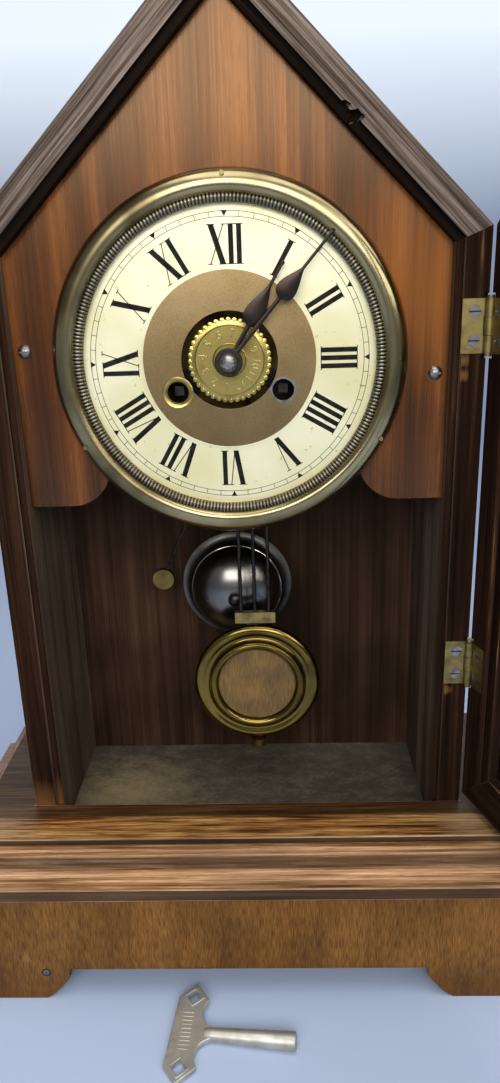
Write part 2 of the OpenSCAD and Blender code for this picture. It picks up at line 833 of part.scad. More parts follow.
module anchor() {
    lift = 1.446 * escape_r;
    clear = escape_r + 1.1;
    reach = 46;
    tip = [clear * sin(reach), clear * cos(reach) - lift];
    fork_z = swing_at[1] - crutch_l;
    color("slategray") {
        bar(swing_at, crutch_y, rear_y - crutch_y, thin_r);
        stood(swing_at, escape_wheel_y, wheel_t) {
            circle(2.6);
            for (s = [0, 1]) mirror([s, 0]) polygon([
                [0, 2.4], tip + [2.2, 4.6], tip + [1.3, 0.2], tip, tip + [-1, 3], [0, -2]
            ]);
        }
        bar(swing_at, crutch_y, 2, 2);
        translate([swing_at[0] - 0.6, crutch_y, fork_z]) cube([1.2, 1, crutch_l]);
        translate([swing_at[0], 0, fork_z]) difference() {
            translate([-rod_r - 1.3, pend_y - 1.8, 0]) cube([2 * rod_r + 2.6, crutch_y + 2.8 - pend_y, 1.6]);
            translate([-rod_r - free_gap, pend_y - 3, -1]) cube([2 * (rod_r + free_gap), 5.2, 4]);
        }
    }
}

// Mainspring barrels, winding arbors and clicks
module barrel(p, gear_y, drum_y, mate) {
    difference() {
        union() {
            stood(p, gear_y, barrel_gear_t) rotate(bearing(p, mate))
                polygon(train_teeth(barrel_teeth, barrel_m));
            bar(p, drum_y, drum_l, drum_r);
        }
        bar(p, inner_y, plate_gap, winder_r + run_gap);
    }
}
module winder(p, s) {
    nose = board_back - 2;
    bar(p, plate_y, rear_y - plate_y, winder_r);
    stood(p, nose, plate_y - nose) square(square_w, center = true);
    stood(p, plate_y - ratchet_t - 0.4, ratchet_t) mirror([s > 0 ? 0 : 1, 0])
        polygon(saw_teeth(ratchet_teeth, ratchet_r, 1.3, 0.9));
    bar(p, plate_y - 0.4, 0.4, winder_r);
}
module click(s) {
    p = click_at(s);
    color("gold") {
        bar(p, plate_y - ratchet_t - 0.4, ratchet_t + plate_t + 0.4, click_pin_r);
        stood(p, plate_y - ratchet_t - 0.4, ratchet_t) mirror([s > 0 ? 0 : 1, 0]) {
            circle(2.2);
            polygon([[0.5, 2.1], [-6.4, -0.2], [-6.3, -1.5], [-0.5, -2.1]]);
        }
    }
}
module time_barrel() {
    color("gold") barrel(time_at, time_gear_y, time_gear_y + barrel_gear_t, centre);
}
module alarm_barrel() {
    color("gold") barrel(alarm_at, alarm_gear_y, alarm_gear_y - drum_l, star_at);
}
module time_winder() {
    color("slategray") winder(time_at, 1);
}
module alarm_winder() {
    color("slategray") winder(alarm_at, -1);
}
module time_click() {
    click(1);
}
module alarm_click() {
    click(-1);
}

// Alarm train, hammer and bell
module alarm_wheel() {
    turn = bearing(star_at, alarm_at) + 180 / leaf_8;
    color("gold") {
        arbor(star_at);
        lantern(star_at, alarm_gear_y - 0.8, barrel_gear_t + 1.2, leaf_8, barrel_m, turn);
        stood(star_at, star_y, wheel_t) polygon(saw_teeth(star_teeth, star_r, 2.4, 0.5));
    }
}
module hammer() {
    pallet = [6.5, 3.5];
    color("goldenrod") {
        arbor(hammer_at);
        stood(hammer_at, star_y, wheel_t) {
            circle(2.4);
            for (s = [0, 1]) mirror([s, 0]) polygon([[0, 2], pallet, pallet + [0.8, -0.8], [0, -2]]);
        }
        bar(hammer_at, hammer_y - 1.5, 3, 2);
        translate([hammer_at[0], hammer_y, hammer_at[1]]) rotate([0, hammer_lean, 0])
            translate([0, 0, -hammer_l]) cylinder(h = hammer_l, r = 0.7);
        bar(head_at, hammer_y - hammer_t / 2, hammer_t, hammer_r);
    }
}
module bell_wall(r, d) {
    rim = 0.27 * d;
    waist = 0.8 * r;
    dome = [for (a = [0:10:90]) [waist * sin(a), rim + (d - rim) * cos(a)]];
    flare = [for (a = [15:15:90]) [waist + (r - waist) * (1 - cos(a)), rim * (1 - sin(a))]];
    polygon(concat([[0, 0]], dome, flare));
}
module bell() {
    wall = 1;
    color("silver") turned(bell_at, bell_y) difference() {
        bell_wall(bell_r, bell_d);
        translate([0, -0.01]) bell_wall(bell_r - wall, bell_d - wall);
        square([thread_r + run_gap, 2 * bell_d]);
    }
}
module bell_post() {
    apex = bell_y - bell_d;
    shoulder = apex + 1.3;
    color("slategray") {
        bar(bell_at, shoulder, back_y - shoulder, 3);
        bar(bell_at, back_y - 1, 5.5, tenon_r);
        bar(bell_at, apex - 2.6, 4, thread_r);
    }
    color("silver") turned(bell_at, apex) difference() {
        union() {
            square([3.6, 1.6]);
            intersection() {
                translate([0, -0.6]) circle(4.2);
                square([3.6, 6]);
            }
        }
        square([thread_r + run_gap, 2.6 + run_gap]);
    }
}

// Pendulum
module suspension_spring() {
    color("silver") translate([swing_at[0] - 2.5, pend_y - 0.15, swing_at[1] - spring_l])
        cube([5, 0.3, spring_l - 0.1]);
}
module pendulum_rods() {
    x = swing_at[0];
    low = bob_at[1] + bob_r + 1.5;
    high = low + grid_h;
    top = swing_at[1] - spring_l;
    end = bob_at[1] - bob_r - 6.5;
    color("goldenrod") translate([x, pend_y, 0]) {
        translate([-3, -1.5, top - 6]) cube([6, 3, 6]);
        translate([0, 0, end]) cylinder(h = top - end, r = rod_r);
        for (s = [-1, 1]) translate([s * rod_pitch, 0, low]) cylinder(h = grid_h, r = rod_r);
        for (z = [low, high]) translate([-rod_pitch - 3, -1.6, z]) cube([2 * rod_pitch + 6, 3.2, 5.5]);
    }
}
module pendulum_bob() {
    bead = 2;
    band = 1.2;
    ring = 0.68 * bob_r;
    dish = ring - bead;
    color("gold") difference() {
        turned(bob_at, pend_y) union() {
            polygon([
                [0, -4.5], [0.4 * bob_r, -4.3], [0.75 * bob_r, -3.2], [bob_r, -band], [bob_r, band],
                [0.9 * bob_r, 2.2], [ring, 3.6], [dish, 3.2], [dish - 0.4, label_h], [0, label_h]
            ]);
            translate([ring, 3.2]) circle(bead);
        }
        translate([bob_at[0], pend_y, bob_at[1] - bob_r - 1])
            cylinder(h = 2 * bob_r + 2, r = rod_r + run_gap);
    }
}
module bob_label() {
    color("tan") stood(bob_at, pend_y - label_h - 0.3, 0.3) circle(0.68 * bob_r - 2.6);
}
module rating_nut() {
    color("gold") translate([bob_at[0], pend_y, bob_at[1] - bob_r - 4.2]) difference() {
        cylinder(h = 4, r = 4);
        translate([0, 0, -1]) cylinder(h = 6, r = rod_r);
    }
}

// Door, drawn closed and swung open about its hinge
module on_door() {
    translate([hinge_x, hinge_y, 0]) rotate([0, 0, door_open]) translate([-hinge_x, -hinge_y, 0]) children();
}
module mitres(outer, inner) {
    for (i = [0:4]) {
        run = inner[i] - outer[i];
        along = run / norm(run);
        side = mitre_gap / 2 * [-along[1], along[0]];
        a = outer[i] - along;
        b = inner[i] + along;
        polygon([a - side, a + side, b + side, b - side]);
    }
}
module door_frame() {
    outer = gable(0, door_low);
    land = gable(door_w - rebate_w, door_low + door_w - rebate_w);
    lip = gable(door_w, door_low + door_w);
    color("saddlebrown") on_door() difference() {
        for (i = [0:4]) {
            slab(door_front, door_t - rebate_d) polygon(member(i, outer, lip));
            slab(door_front + door_t - rebate_d, rebate_d) polygon(member(i, outer, land));
        }
        slab(door_front - 1, door_t + 2) mitres(outer, lip);
        for (z = hinges) {
            translate([half_w - leaf_w, -door_play - leaf_t, z - hinge_l / 2])
                cube([2 * leaf_w, leaf_t + 1, hinge_l]);
            translate([hinge_x, hinge_y, z - hinge_l / 2 - 2])
                cylinder(h = hinge_l + 4, r = knuckle_r + free_gap);
            for (s = leaf_screws) translate([half_w - leaf_w / 2, -door_play - leaf_t, z + s])
                rotate([90, 0, 0]) cylinder(h = 8, r = screw_r + run_gap);
        }
        translate([-half_w - 1, hook_at[0] - hook_l, hook_at[1]]) rotate([0, 90, 0])
            cylinder(h = 8, r = hook_pin_r + run_gap);
    }
}
module door_glass() {
    inset = door_w - rebate_w + free_gap;
    color("lightcyan", 0.4) on_door() slab(door_front + door_t - rebate_d, glass_t)
        polygon(gable(inset, door_low + inset));
}
module glazing_beads() {
    outer = gable(door_w - rebate_w, door_low + door_w - rebate_w);
    inner = gable(door_w, door_low + door_w);
    y = door_front + door_t - rebate_d + glass_t;
    color("saddlebrown") on_door() slab(y, rebate_d - glass_t - bead_back) difference() {
        for (i = [0:4]) polygon(member(i, outer, inner));
        mitres(outer, inner);
    }
}

// Hinge leaf lying in the plane y = 0, its knuckles on the hinge axis
module hinge_leaf(own, other) {
    third = hinge_l / 3;
    difference() {
        union() {
            translate([half_w - leaf_w, 0, -hinge_l / 2]) cube([hinge_x - half_w + leaf_w, leaf_t, hinge_l]);
            for (i = own) translate([hinge_x, hinge_y, (i - 0.5) * third + 0.1])
                cylinder(h = third - 0.2, r = knuckle_r);
        }
        for (i = other) translate([hinge_x, hinge_y, (i - 0.5) * third - 0.1])
            cylinder(h = third + 0.2, r = knuckle_r + free_gap);
        translate([hinge_x, hinge_y, -hinge_l]) cylinder(h = 2 * hinge_l, r = hinge_pin_r + run_gap);
        for (s = leaf_screws) translate([half_w - leaf_w / 2, 0, s]) flat_hole();
    }
}
module hinge_case_leaves() {
    color("gold") for (z = hinges) translate([0, 0, z]) hinge_leaf([-1, 1], [0]);
}
module hinge_door_leaves() {
    color("gold") on_door() for (z = hinges) translate([0, 2 * hinge_y, z])
        mirror([0, 1, 0]) hinge_leaf([0], [-1, 1]);
}
module hinge_pins() {
    color("goldenrod") for (z = hinges) translate([hinge_x, hinge_y, z]) {
        translate([0, 0, -hinge_l / 2 - 0.6]) cylinder(h = hinge_l + 1.2, r = hinge_pin_r);
        for (s = [-hinge_l / 2 - 1.2, hinge_l / 2]) translate([0, 0, s]) cylinder(h = 1.2, r = 1.6);
    }
}
module case_screws() {
    color("silver") for (z = hinges, s = leaf_screws)
        translate([half_w - leaf_w / 2, 0, z + s]) flat_screw(screw_l);
    color("gold") translate([0, hook_at[0], hook_at[1]]) rotate([0, 90, 0]) {
        translate([0, 0, hook_x - free_gap]) cylinder(h = 8 + hook_t, r = screw_r);
        translate([0, 0, hook_x - free_gap - 1.4]) cylinder(h = 1.4, r = 2.8);
    }
}
module door_screws() {
    color("silver") on_door() for (z = hinges, s = leaf_screws)
        translate([half_w - leaf_w / 2, -door_play, z + s]) mirror([0, 1, 0]) flat_screw(screw_l);
    color("gold") on_door() translate([-half_w, hook_at[0] - hook_l, hook_at[1]]) rotate([0, 90, 0]) {
        translate([0, 0, -free_gap - hook_t - 0.6]) cylinder(h = 8, r = hook_pin_r);
        translate([0, 0, -free_gap - hook_t - 1.8]) cylinder(h = 1.2, r = 2.2);
    }
}
module door_hook() {
    notch = hook_pin_r + free_gap;
    color("gold") translate([hook_x, hook_at[0], hook_at[1]]) rotate([90, 0, 90])
        linear_extrude(hook_t) difference() {
            union() {
                circle(3);
                translate([-1.6, -hook_l - 1]) square([3.2, hook_l + 1]);
                translate([0, -hook_l]) circle(notch + 1.8);
            }
            circle(screw_r + run_gap);
            translate([0, -hook_l]) circle(notch);
            translate([0, -hook_l - notch]) square([8, 2 * notch]);
        }
}

// Winding key, resting on the table
module key_bow() {
    half = key_bow_l / 2;
    corner = key_bow_w / 2;
    eye = half - corner;
    far = -key_gap - key_bow_w;
    difference() {
        polygon([
            [far, -eye], [far, eye], [far + corner, half], [-key_gap, eye], [1, 0.6 * eye],
            [1, -0.6 * eye], [-key_gap, -eye], [far + corner, -half]
        ]);
        for (s = [-1, 1]) {
            translate([0.23 * key_bow_w, s * 0.45 * half]) circle(0.59 * key_bow_w);
            translate([far + corner, s * eye]) rotate(45) square(key_eye, center = true);
        }
    }
}
module winding_key() {
    bore = square_w + 0.2;
    color("silver") translate([key_at[0], key_at[1], key_rest])
        rotate([0, 0, key_turn]) rotate([0, -key_pitch, 0]) rotate([key_tilt, 0, 0]) {
        difference() {
            rotate([0, 90, 0]) cylinder(h = key_pipe_l, r1 = key_neck_r, r2 = key_pipe_r);
            translate([0.65 * key_pipe_l, -bore / 2, -bore / 2]) cube([key_pipe_l, bore, bore]);
        }
        translate([0, 0, -key_bow_t / 2]) linear_extrude(key_bow_t) key_bow();
    }
}

module placed() {
    translate([0, plinth_t / 2 - case_d, 0]) children();
}

placed() plinth_front();
placed() plinth_sides();
placed() plinth_back();
placed() base_board();
placed() base_moulding();
placed() floor_panel();
placed() wall_left();
placed() wall_right();
placed() roof_left();
placed() roof_right();
placed() back_board();
placed() dial_board();
placed() dial_cleats();
placed() dial_fixings();
placed() dial_plate();
placed() dial_centre();
placed() bezel();
placed() rope_ring();
placed() winding_grommet();
placed() alarm_disc();
placed() hour_hand();
placed() minute_hand();
placed() hand_nut();
placed() front_plate();
placed() back_plate();
placed() plate_pillars();
placed() movement_feet();
placed() pillar_nuts();
placed() suspension_cock();
placed() centre_arbor();
placed() minute_wheel();
placed() hour_wheel();
placed() third_wheel();
placed() escape_wheel();
placed() anchor();
placed() time_barrel();
placed() time_winder();
placed() time_click();
placed() alarm_barrel();
placed() alarm_winder();
placed() alarm_click();
placed() alarm_wheel();
placed() hammer();
placed() bell();
placed() bell_post();
placed() suspension_spring();
placed() pendulum_rods();
placed() pendulum_bob();
placed() bob_label();
placed() rating_nut();
placed() door_frame();
placed() door_glass();
placed() glazing_beads();
placed() hinge_case_leaves();
placed() hinge_door_leaves();
placed() hinge_pins();
placed() case_screws();
placed() door_screws();
placed() door_hook();
placed() winding_key();
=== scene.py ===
"""Looks of a peaked mantel alarm clock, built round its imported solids.

Sizes are millimetres and angles degrees unless a comment says otherwise. Meshes are made in metres, in
the frame of the solids: X to the right, Y from front to back, Z up from the table. Some round and flat
parts are drawn in a ring frame first, with Z towards the viewer, and then turned to their place.
"""
import json
import math

import bmesh
import bpy
from mathutils import Matrix, Vector, noise


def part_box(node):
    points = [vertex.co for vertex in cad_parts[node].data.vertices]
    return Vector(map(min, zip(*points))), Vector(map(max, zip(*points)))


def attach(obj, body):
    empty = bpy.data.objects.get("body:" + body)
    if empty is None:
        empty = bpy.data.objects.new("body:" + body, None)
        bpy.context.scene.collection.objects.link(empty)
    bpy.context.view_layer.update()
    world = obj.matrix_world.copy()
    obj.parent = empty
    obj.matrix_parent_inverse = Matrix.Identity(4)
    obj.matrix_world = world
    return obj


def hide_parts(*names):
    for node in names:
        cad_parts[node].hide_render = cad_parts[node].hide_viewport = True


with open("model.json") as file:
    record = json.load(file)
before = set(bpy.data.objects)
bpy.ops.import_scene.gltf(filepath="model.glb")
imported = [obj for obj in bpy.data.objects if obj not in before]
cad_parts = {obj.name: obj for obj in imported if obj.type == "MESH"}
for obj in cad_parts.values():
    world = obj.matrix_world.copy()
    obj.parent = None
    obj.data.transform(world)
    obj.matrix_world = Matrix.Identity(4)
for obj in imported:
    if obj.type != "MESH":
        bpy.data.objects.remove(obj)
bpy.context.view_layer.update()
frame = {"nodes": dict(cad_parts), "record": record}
NODES = frame["nodes"]
BODY_OF = {n: b for b, nodes in frame["record"]["behaviour"]["bodies"].items() for n in nodes}
MM = 0.001


def span(node):
    """Lowest and highest corner of a solid, in millimetres."""
    low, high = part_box(node)
    return low / MM, high / MM


def middle(node):
    low, high = span(node)
    return (low + high) / 2


def half_width(node):
    """Radius of a round solid that faces the viewer."""
    low, high = span(node)
    return (high.x - low.x) / 2


# Places read from the solids
DIAL_X, _, DIAL_Z = middle("dial_plate")
DIAL_FACE = span("dial_plate")[0].y
CASE_FRONT = span("wall_left")[0].y
PLINTH_FRONT = span("plinth_front")[0].y
DECK_TOP = span("base_moulding")[1].z
HALF_PIN = 12
LOWER_HINGE = round(span("hinge_pins")[0].z) + HALF_PIN
UPPER_HINGE = round(span("hinge_pins")[1].z) - HALF_PIN

# Camera, fitted to an image of 500 by 1083 pixels
IMAGE_H = 1083
FOCAL_PX = 793.05
CAMERA_AT = (17.57, -409.74, 329.32)
CAMERA_YAW = 1.92
CAMERA_PITCH = -18.3
CAMERA_ROLL = 1.87

# Sockets of the colour form of a Mix node
FACTOR, COLOUR_A, COLOUR_B, MIXED = 0, 6, 7, 2


def linear(colour):
    """sRGB hex to linear RGBA."""
    parts = [int(colour[i:i + 2], 16) / 255 for i in (1, 3, 5)]
    return [c / 12.92 if c <= 0.04045 else ((c + 0.055) / 1.055) ** 2.4 for c in parts] + [1.0]


def feed(tree, node, feeds):
    """Set a node's sockets to values, or link them to other nodes or to one of their outputs."""
    for key, value in feeds.items():
        if isinstance(value, bpy.types.Node):
            value = value.outputs[0]
        if isinstance(value, bpy.types.NodeSocket):
            tree.links.new(value, node.inputs[key])
        else:
            node.inputs[key].default_value = value


def add(tree, kind, feeds=None, stops=(), **settings):
    """Add a node with its settings, its ramp stops and what feeds its sockets."""
    made = tree.nodes.new(kind)
    for key, value in settings.items():
        setattr(made, key, value)
    for i, (place, colour) in enumerate(stops):
        points = made.color_ramp.elements
        point = points[i] if i < len(points) else points.new(place)
        point.position = place
        point.color = linear(colour)
    feed(tree, made, feeds or {})
    return made


def new_material(name, values):
    """Gives a material with values set on its shader, then its tree, shader and Object coordinates."""
    material = bpy.data.materials.new(name)
    material.use_nodes = True
    tree = material.node_tree
    shader = tree.nodes["Principled BSDF"]
    feed(tree, shader, values)
    return material, tree, shader, add(tree, "ShaderNodeTexCoord").outputs["Object"]


# Finishes by the name that pieces ask for
FINISH = {}

# Woods

# Widths across and runs along the grain that all boards share. Real fibres and pores are finer than a tenth
# of a millimetre: they are drawn about half a millimetre wide, so that they show.
PORE = (0.5, 7)
RUB = (5, 40)
GRIME = (30, 60)
# Run of the broad figure in its own widths, slope of the growth bands across a board, and how many radians
# the broad figure bends them
BROAD_RUN, BAND_SLOPE, BAND_BEND = 8, 0.7, 14.0
# Rubbing at which bare wood shows, how much wear lowers that, and how wide its edge is
WEAR_START, WEAR_GAIN, WEAR_EDGE = 1.34, 0.35, 0.22
# Share of a pale spot's radius within which it is palest, and how much nearness adds to the figure that frays
# it
SPOT_HEART, SPOT_PULL = 0.1, 1.3
# How far the streaks fray the dark stripe, and how wide its edge is
STRIPE_FRAY, STRIPE_EDGE = 2.5, 1.5
# Share of a shaded stretch's fade by which the streaks fray it, and their share in the relief
SHADE_FRAY, STREAK_RELIEF = 0.6, 0.6
# Tones of the grime, of the dark stripe and of the painted shade
GRIME_TONE, STRIPE_TONE, SHADE_TONE = "#120c08", "#23140d", "#1c0f08"


def grained_wood(name, tones, fibre=(0.6, 60, 0.5), streak=(2.6, 150, 0.5), bands=(9, 0.1), broad=(30, 0.5),
                 pores=0.3, soil=0.3, raw="#8a7458", worn=0.0, pale_spots=(), spot_depth=0.6,
                 spot_edge=(1.35, 2.1), rough=(0.46, 0.62), specular=0.18, relief=0.1, strip=None, shade=()):
    """Boards with growth bands, streaks, fibres and pores along their own grain attribute, soiled and worn.

    fibre and streak give width, run and strength; bands and broad give width and strength; pale_spots are
    paler spots of place and radius, mostly rubbed wear and on the dial board painted light; strip is the
    depth at which a dark stripe starts; shade darkens stretches of height that start, are full, begin to
    fade and end at four levels, to a given strength, as painted shade on the dial board and moulding.
    """
    material, tree, shader, place = new_material(name, {
        "Specular IOR Level": specular, "Specular Tint": linear("#d9b088")})
    grain = add(tree, "ShaderNodeAttribute", attribute_name="grain").outputs["Vector"]

    def layer(size, detail, distortion=0.0):
        """Noise of a width and a run along the grain."""
        stretch = Vector((1 / size[0], 1 / size[0], 1 / size[1])) / MM
        at = add(tree, "ShaderNodeVectorMath", {0: grain, 1: stretch}, operation="MULTIPLY")
        return add(tree, "ShaderNodeTexNoise", {
            "Vector": at, "Scale": 1.0, "Detail": detail, "Distortion": distortion})

    wide = layer((broad[0], BROAD_RUN * broad[0]), 2.0, 0.3)
    lines = layer(streak, 3.0, 0.3)
    fine = layer(fibre, 3.0)
    across, through, _ = add(tree, "ShaderNodeSeparateXYZ", {0: grain}).outputs
    slant = add(tree, "ShaderNodeMath", {0: through, 1: BAND_SLOPE, 2: across}, operation="MULTIPLY_ADD")
    turns = add(tree, "ShaderNodeMath", {0: slant, 1: 2 * math.pi / (bands[0] * MM)}, operation="MULTIPLY")
    bent = add(tree, "ShaderNodeMath", {0: wide, 1: BAND_BEND, 2: turns}, operation="MULTIPLY_ADD")
    ring = add(tree, "ShaderNodeMath", {0: bent}, operation="SINE")
    even = 0.5 - 0.5 * (broad[1] + streak[2] + fibre[2])
    tone = add(tree, "ShaderNodeMath", {0: ring, 1: 0.5 * bands[1], 2: even}, operation="MULTIPLY_ADD")
    for figure, strength in ((wide, broad[1]), (lines, streak[2]), (fine, fibre[2])):
        tone = add(tree, "ShaderNodeMath", {0: figure, 1: strength, 2: tone}, operation="MULTIPLY_ADD")
    colour = add(tree, "ShaderNodeValToRGB", {"Fac": tone},
                 [(0.25, tones[0]), (0.75, tones[2]), (0.5, tones[1])])
    pore = add(tree, "ShaderNodeMapRange", {
        "Value": layer(PORE, 1.0), "From Min": 0.56, "From Max": 0.7, "To Max": pores})
    grime = add(tree, "ShaderNodeMapRange", {
        "Value": layer(GRIME, 5.0), "From Min": 0.38, "From Max": 0.6, "To Min": soil, "To Max": 0.0})
    films = [(pore, tones[0]), (grime, GRIME_TONE)]
    if worn:
        rubbing = add(tree, "ShaderNodeMath", {0: layer(RUB, 4.0), 1: lines}, operation="ADD")
        least = WEAR_START - WEAR_GAIN * worn
        bare = add(tree, "ShaderNodeMapRange", {
            "Value": rubbing, "From Min": least, "From Max": least + WEAR_EDGE, "To Max": 0.75})
        films.append((bare, raw))
    # Paler spots: rubbed wear, and on the dial board painted light
    for spot, radius in pale_spots:
        away = add(tree, "ShaderNodeVectorMath", {0: place, 1: MM * Vector(spot)}, operation="DISTANCE")
        near = add(tree, "ShaderNodeMapRange", {
            "Value": away.outputs["Value"], "From Min": radius * MM, "From Max": SPOT_HEART * radius * MM})
        ragged = add(tree, "ShaderNodeMath", {0: lines, 1: fine}, operation="ADD")
        ragged = add(tree, "ShaderNodeMath", {0: near, 1: SPOT_PULL, 2: ragged}, operation="MULTIPLY_ADD")
        patch = add(tree, "ShaderNodeMapRange", {
            "Value": ragged, "From Min": spot_edge[0], "From Max": spot_edge[1], "To Max": spot_depth})
        films.append((patch, raw))
    if strip:
        depth = add(tree, "ShaderNodeSeparateXYZ", {0: place}).outputs["Y"]
        frayed = add(tree, "ShaderNodeMath", {
            0: lines, 1: STRIPE_FRAY * MM, 2: depth}, operation="MULTIPLY_ADD")
        stripe = add(tree, "ShaderNodeMapRange", {
            "Value": frayed, "From Min": strip * MM, "From Max": (strip + STRIPE_EDGE) * MM, "To Max": 0.85})
        films.append((stripe, STRIPE_TONE))
    # Painted shade, or on the plinth a darker foot, over stretches of height
    for start, full, fade, end, strength in shade:
        height = add(tree, "ShaderNodeSeparateXYZ", {0: place}).outputs["Z"]
        level = add(tree, "ShaderNodeMath", {
            0: lines, 1: SHADE_FRAY * (end - fade) * MM, 2: height}, operation="MULTIPLY_ADD")
        rise = add(tree, "ShaderNodeMapRange", {
            "Value": level, "From Min": start * MM, "From Max": full * MM, "To Max": strength})
        fall = add(tree, "ShaderNodeMapRange", {"Value": level, "From Min": end * MM, "From Max": fade * MM})
        dim = add(tree, "ShaderNodeMath", {0: rise, 1: fall}, operation="MULTIPLY")
        films.append((dim, SHADE_TONE))
    for share, film in films:
        colour = add(tree, "ShaderNodeMix", {
            FACTOR: share, COLOUR_A: colour, COLOUR_B: linear(film)}, data_type="RGBA").outputs[MIXED]
    shine = add(tree, "ShaderNodeMapRange", {
        "Value": fine, "From Min": 0.3, "From Max": 0.7, "To Min": rough[1], "To Max": rough[0]})
    raised = add(tree, "ShaderNodeMath", {0: fine, 1: pore}, operation="SUBTRACT")
    raised = add(tree, "ShaderNodeMath", {0: lines, 1: STREAK_RELIEF, 2: raised}, operation="MULTIPLY_ADD")
    bump = add(tree, "ShaderNodeBump", {"Height": raised, "Strength": 0.5, "Distance": relief * MM})
    feed(tree, shader, {"Base Color": colour, "Roughness": shine, "Normal": bump})
    return material


# Softwood stained black-brown and dried grey: fine fibres and growth lines along the slope
FINISH["roof"] = grained_wood(
    "grey_brown_roof_softwood", ("#2b241f", "#5b4f46", "#8c7c71"), fibre=(0.6, 36, 0.9),
    streak=(1.4, 80, 0.8), bands=(4, 0.16), broad=(12, 0.4), raw="#93857a", worn=0.14, rough=(0.5, 0.68),
    specular=0.3, relief=0.16)

# The same softwood on walls and door, browner, with bare splinters below the hinges and at the left foot
HINGE_SPLINTERS = [UPPER_HINGE - 13, UPPER_HINGE - 19, LOWER_HINGE - 14]
FINISH["wall"] = grained_wood(
    "dark_brown_wall_softwood", ("#120a07", "#26170f", "#3e291c"), fibre=(0.5, 60, 0.6),
    streak=(2.4, 160, 0.7), bands=(6, 0.12), raw="#8a6137", worn=0.08, spot_depth=0.5, rough=(0.55, 0.7),
    specular=0.04, relief=0.14,
    pale_spots=[((96, CASE_FRONT, z), 4) for z in HINGE_SPLINTERS] + [((-100, CASE_FRONT, 76), 30)])

# Bare planed boards that line the walls, greyed and dusty
FINISH["lining"] = grained_wood(
    "dusty_lining_boards", ("#382d25", "#5a4a3b", "#7c6753"), fibre=(0.6, 80, 0.6), streak=(3, 200, 0.6),
    bands=(12, 0.1), soil=0.35, rough=(0.6, 0.75), specular=0.1)

# Boards under the roof slopes and their inner front edges, painted nearly black as painted shade
FINISH["soot"] = grained_wood(
    "roof_lining_black_painted_shade", ("#0d0907", "#1b130e", "#2b1f17"), fibre=(0.6, 80, 0.6), streak=(3, 200, 0.6),
    rough=(0.6, 0.75), specular=0.04)

# Rubbed arrises of the dark boards, where paler wood shows
FINISH["rubbed"] = grained_wood(
    "rubbed_dark_softwood", ("#20150e", "#412d1f", "#664b33"), fibre=(0.5, 40, 0.8), streak=(2, 60, 0.9),
    raw="#957b5d", worn=0.35)

# Varnished softwood: red-brown with upright fibres, broad darker bands and a soft gloss; the pale patch on
# the right is painted light, and the darkening towards the foot is painted shade
FINISH["dial_board"] = grained_wood(
    "varnished_red_brown_board", ("#36190a", "#5e3115", "#8a4f21"), fibre=(0.5, 60, 0.55),
    streak=(2.0, 160, 0.4), bands=(23, 0.3), broad=(34, 0.8), pores=0.4, soil=0.4, raw="#a8652a",
    pale_spots=[((80, DIAL_FACE, 322), 55)], spot_depth=0.42, spot_edge=(1.1, 2.2), rough=(0.2, 0.3), specular=1.0,
    relief=0.04, shade=[(0, 1, 240, 330, 0.57)])

# Dark stained board at the back and underneath, seen in the shade of the case
FINISH["back"] = grained_wood(
    "dark_back_board", ("#1c130e", "#36251b", "#50392b"), fibre=(0.6, 120, 0.5), streak=(3, 260, 0.6),
    bands=(16, 0.1), broad=(34, 0.7), soil=0.5)

# Yellow-brown varnish over short upright grain, darker towards the foot and scuffed in places
FINISH["plinth"] = grained_wood(
    "yellow_brown_plinth", ("#4a2f13", "#7b5122", "#9a6e36"), fibre=(0.5, 6, 0.75), streak=(2, 30, 0.3),
    bands=(30, 0.05), broad=(26, 0.3), pores=0.8, soil=0.4, raw="#b59663",
    pale_spots=[((x, PLINTH_FRONT, z), size) for x, z, size in ((-38, 40, 3), (-106, 24, 4), (-30, 21, 4))],
    spot_depth=0.14, rough=(0.36, 0.52), specular=0.3, relief=0.06, shade=[(0, 1, 14, 30, 0.3)])

# Stained moulding with fine streaks along it and pale rubbed patches; painted shade darkens the
# forward-facing stretch of the ogee between its lighter rounds
FINISH["moulding"] = grained_wood(
    "streaked_moulding", ("#4a2c15", "#946943", "#c49c76"), fibre=(0.5, 26, 0.9), streak=(1.2, 70, 0.8),
    bands=(7, 0.05), broad=(6, 0.3), pores=0.4, soil=0.3, raw="#d3b297", worn=0.14, rough=(0.24, 0.34),
    specular=1.0, relief=0.06, shade=[(71, 73, 77.6, 79.6, 0.62)])

# Streaked rosewood veneer: orange with dark streaks, rubbed pale at both ends, with a dark stripe along its
# back edge
FINISH["deck"] = grained_wood(
    "rosewood_deck_veneer", ("#371c0b", "#926230", "#c8995f"), fibre=(0.5, 20, 1.1), streak=(1.3, 55, 1.1),
    bands=(9, 0.08), broad=(7, 0.6), pores=0.6, soil=0.35, raw="#b79c7a", worn=0.1,
    pale_spots=[((-124, CASE_FRONT - 12, DECK_TOP), 26), ((106, CASE_FRONT - 14, DECK_TOP), 22)], spot_depth=0.4,
    spot_edge=(1.2, 2.3), rough=(0.32, 0.46), specular=0.5, relief=0.06, strip=CASE_FRONT - 9.5)

# Dark strip under the moulding, partly its own darker stain and partly painted shade on a face turned from
# the light
FINISH["fascia"] = grained_wood(
    "fascia_dark_with_painted_shade", ("#302219", "#503b2b", "#67503d"), fibre=(0.5, 60, 0.6), streak=(1.6, 120, 0.5),
    rough=(0.42, 0.56))

# Pale edge lines of the base moulding: partly bare rubbed wood, partly a painted highlight along the edges
FINISH["arris"] = grained_wood(
    "moulding_edge_rubbed_and_painted_highlight", ("#7d5f43", "#b4926f", "#d3b594"), fibre=(0.5, 30, 0.8), streak=(2, 40, 0.9),
    soil=0.35)

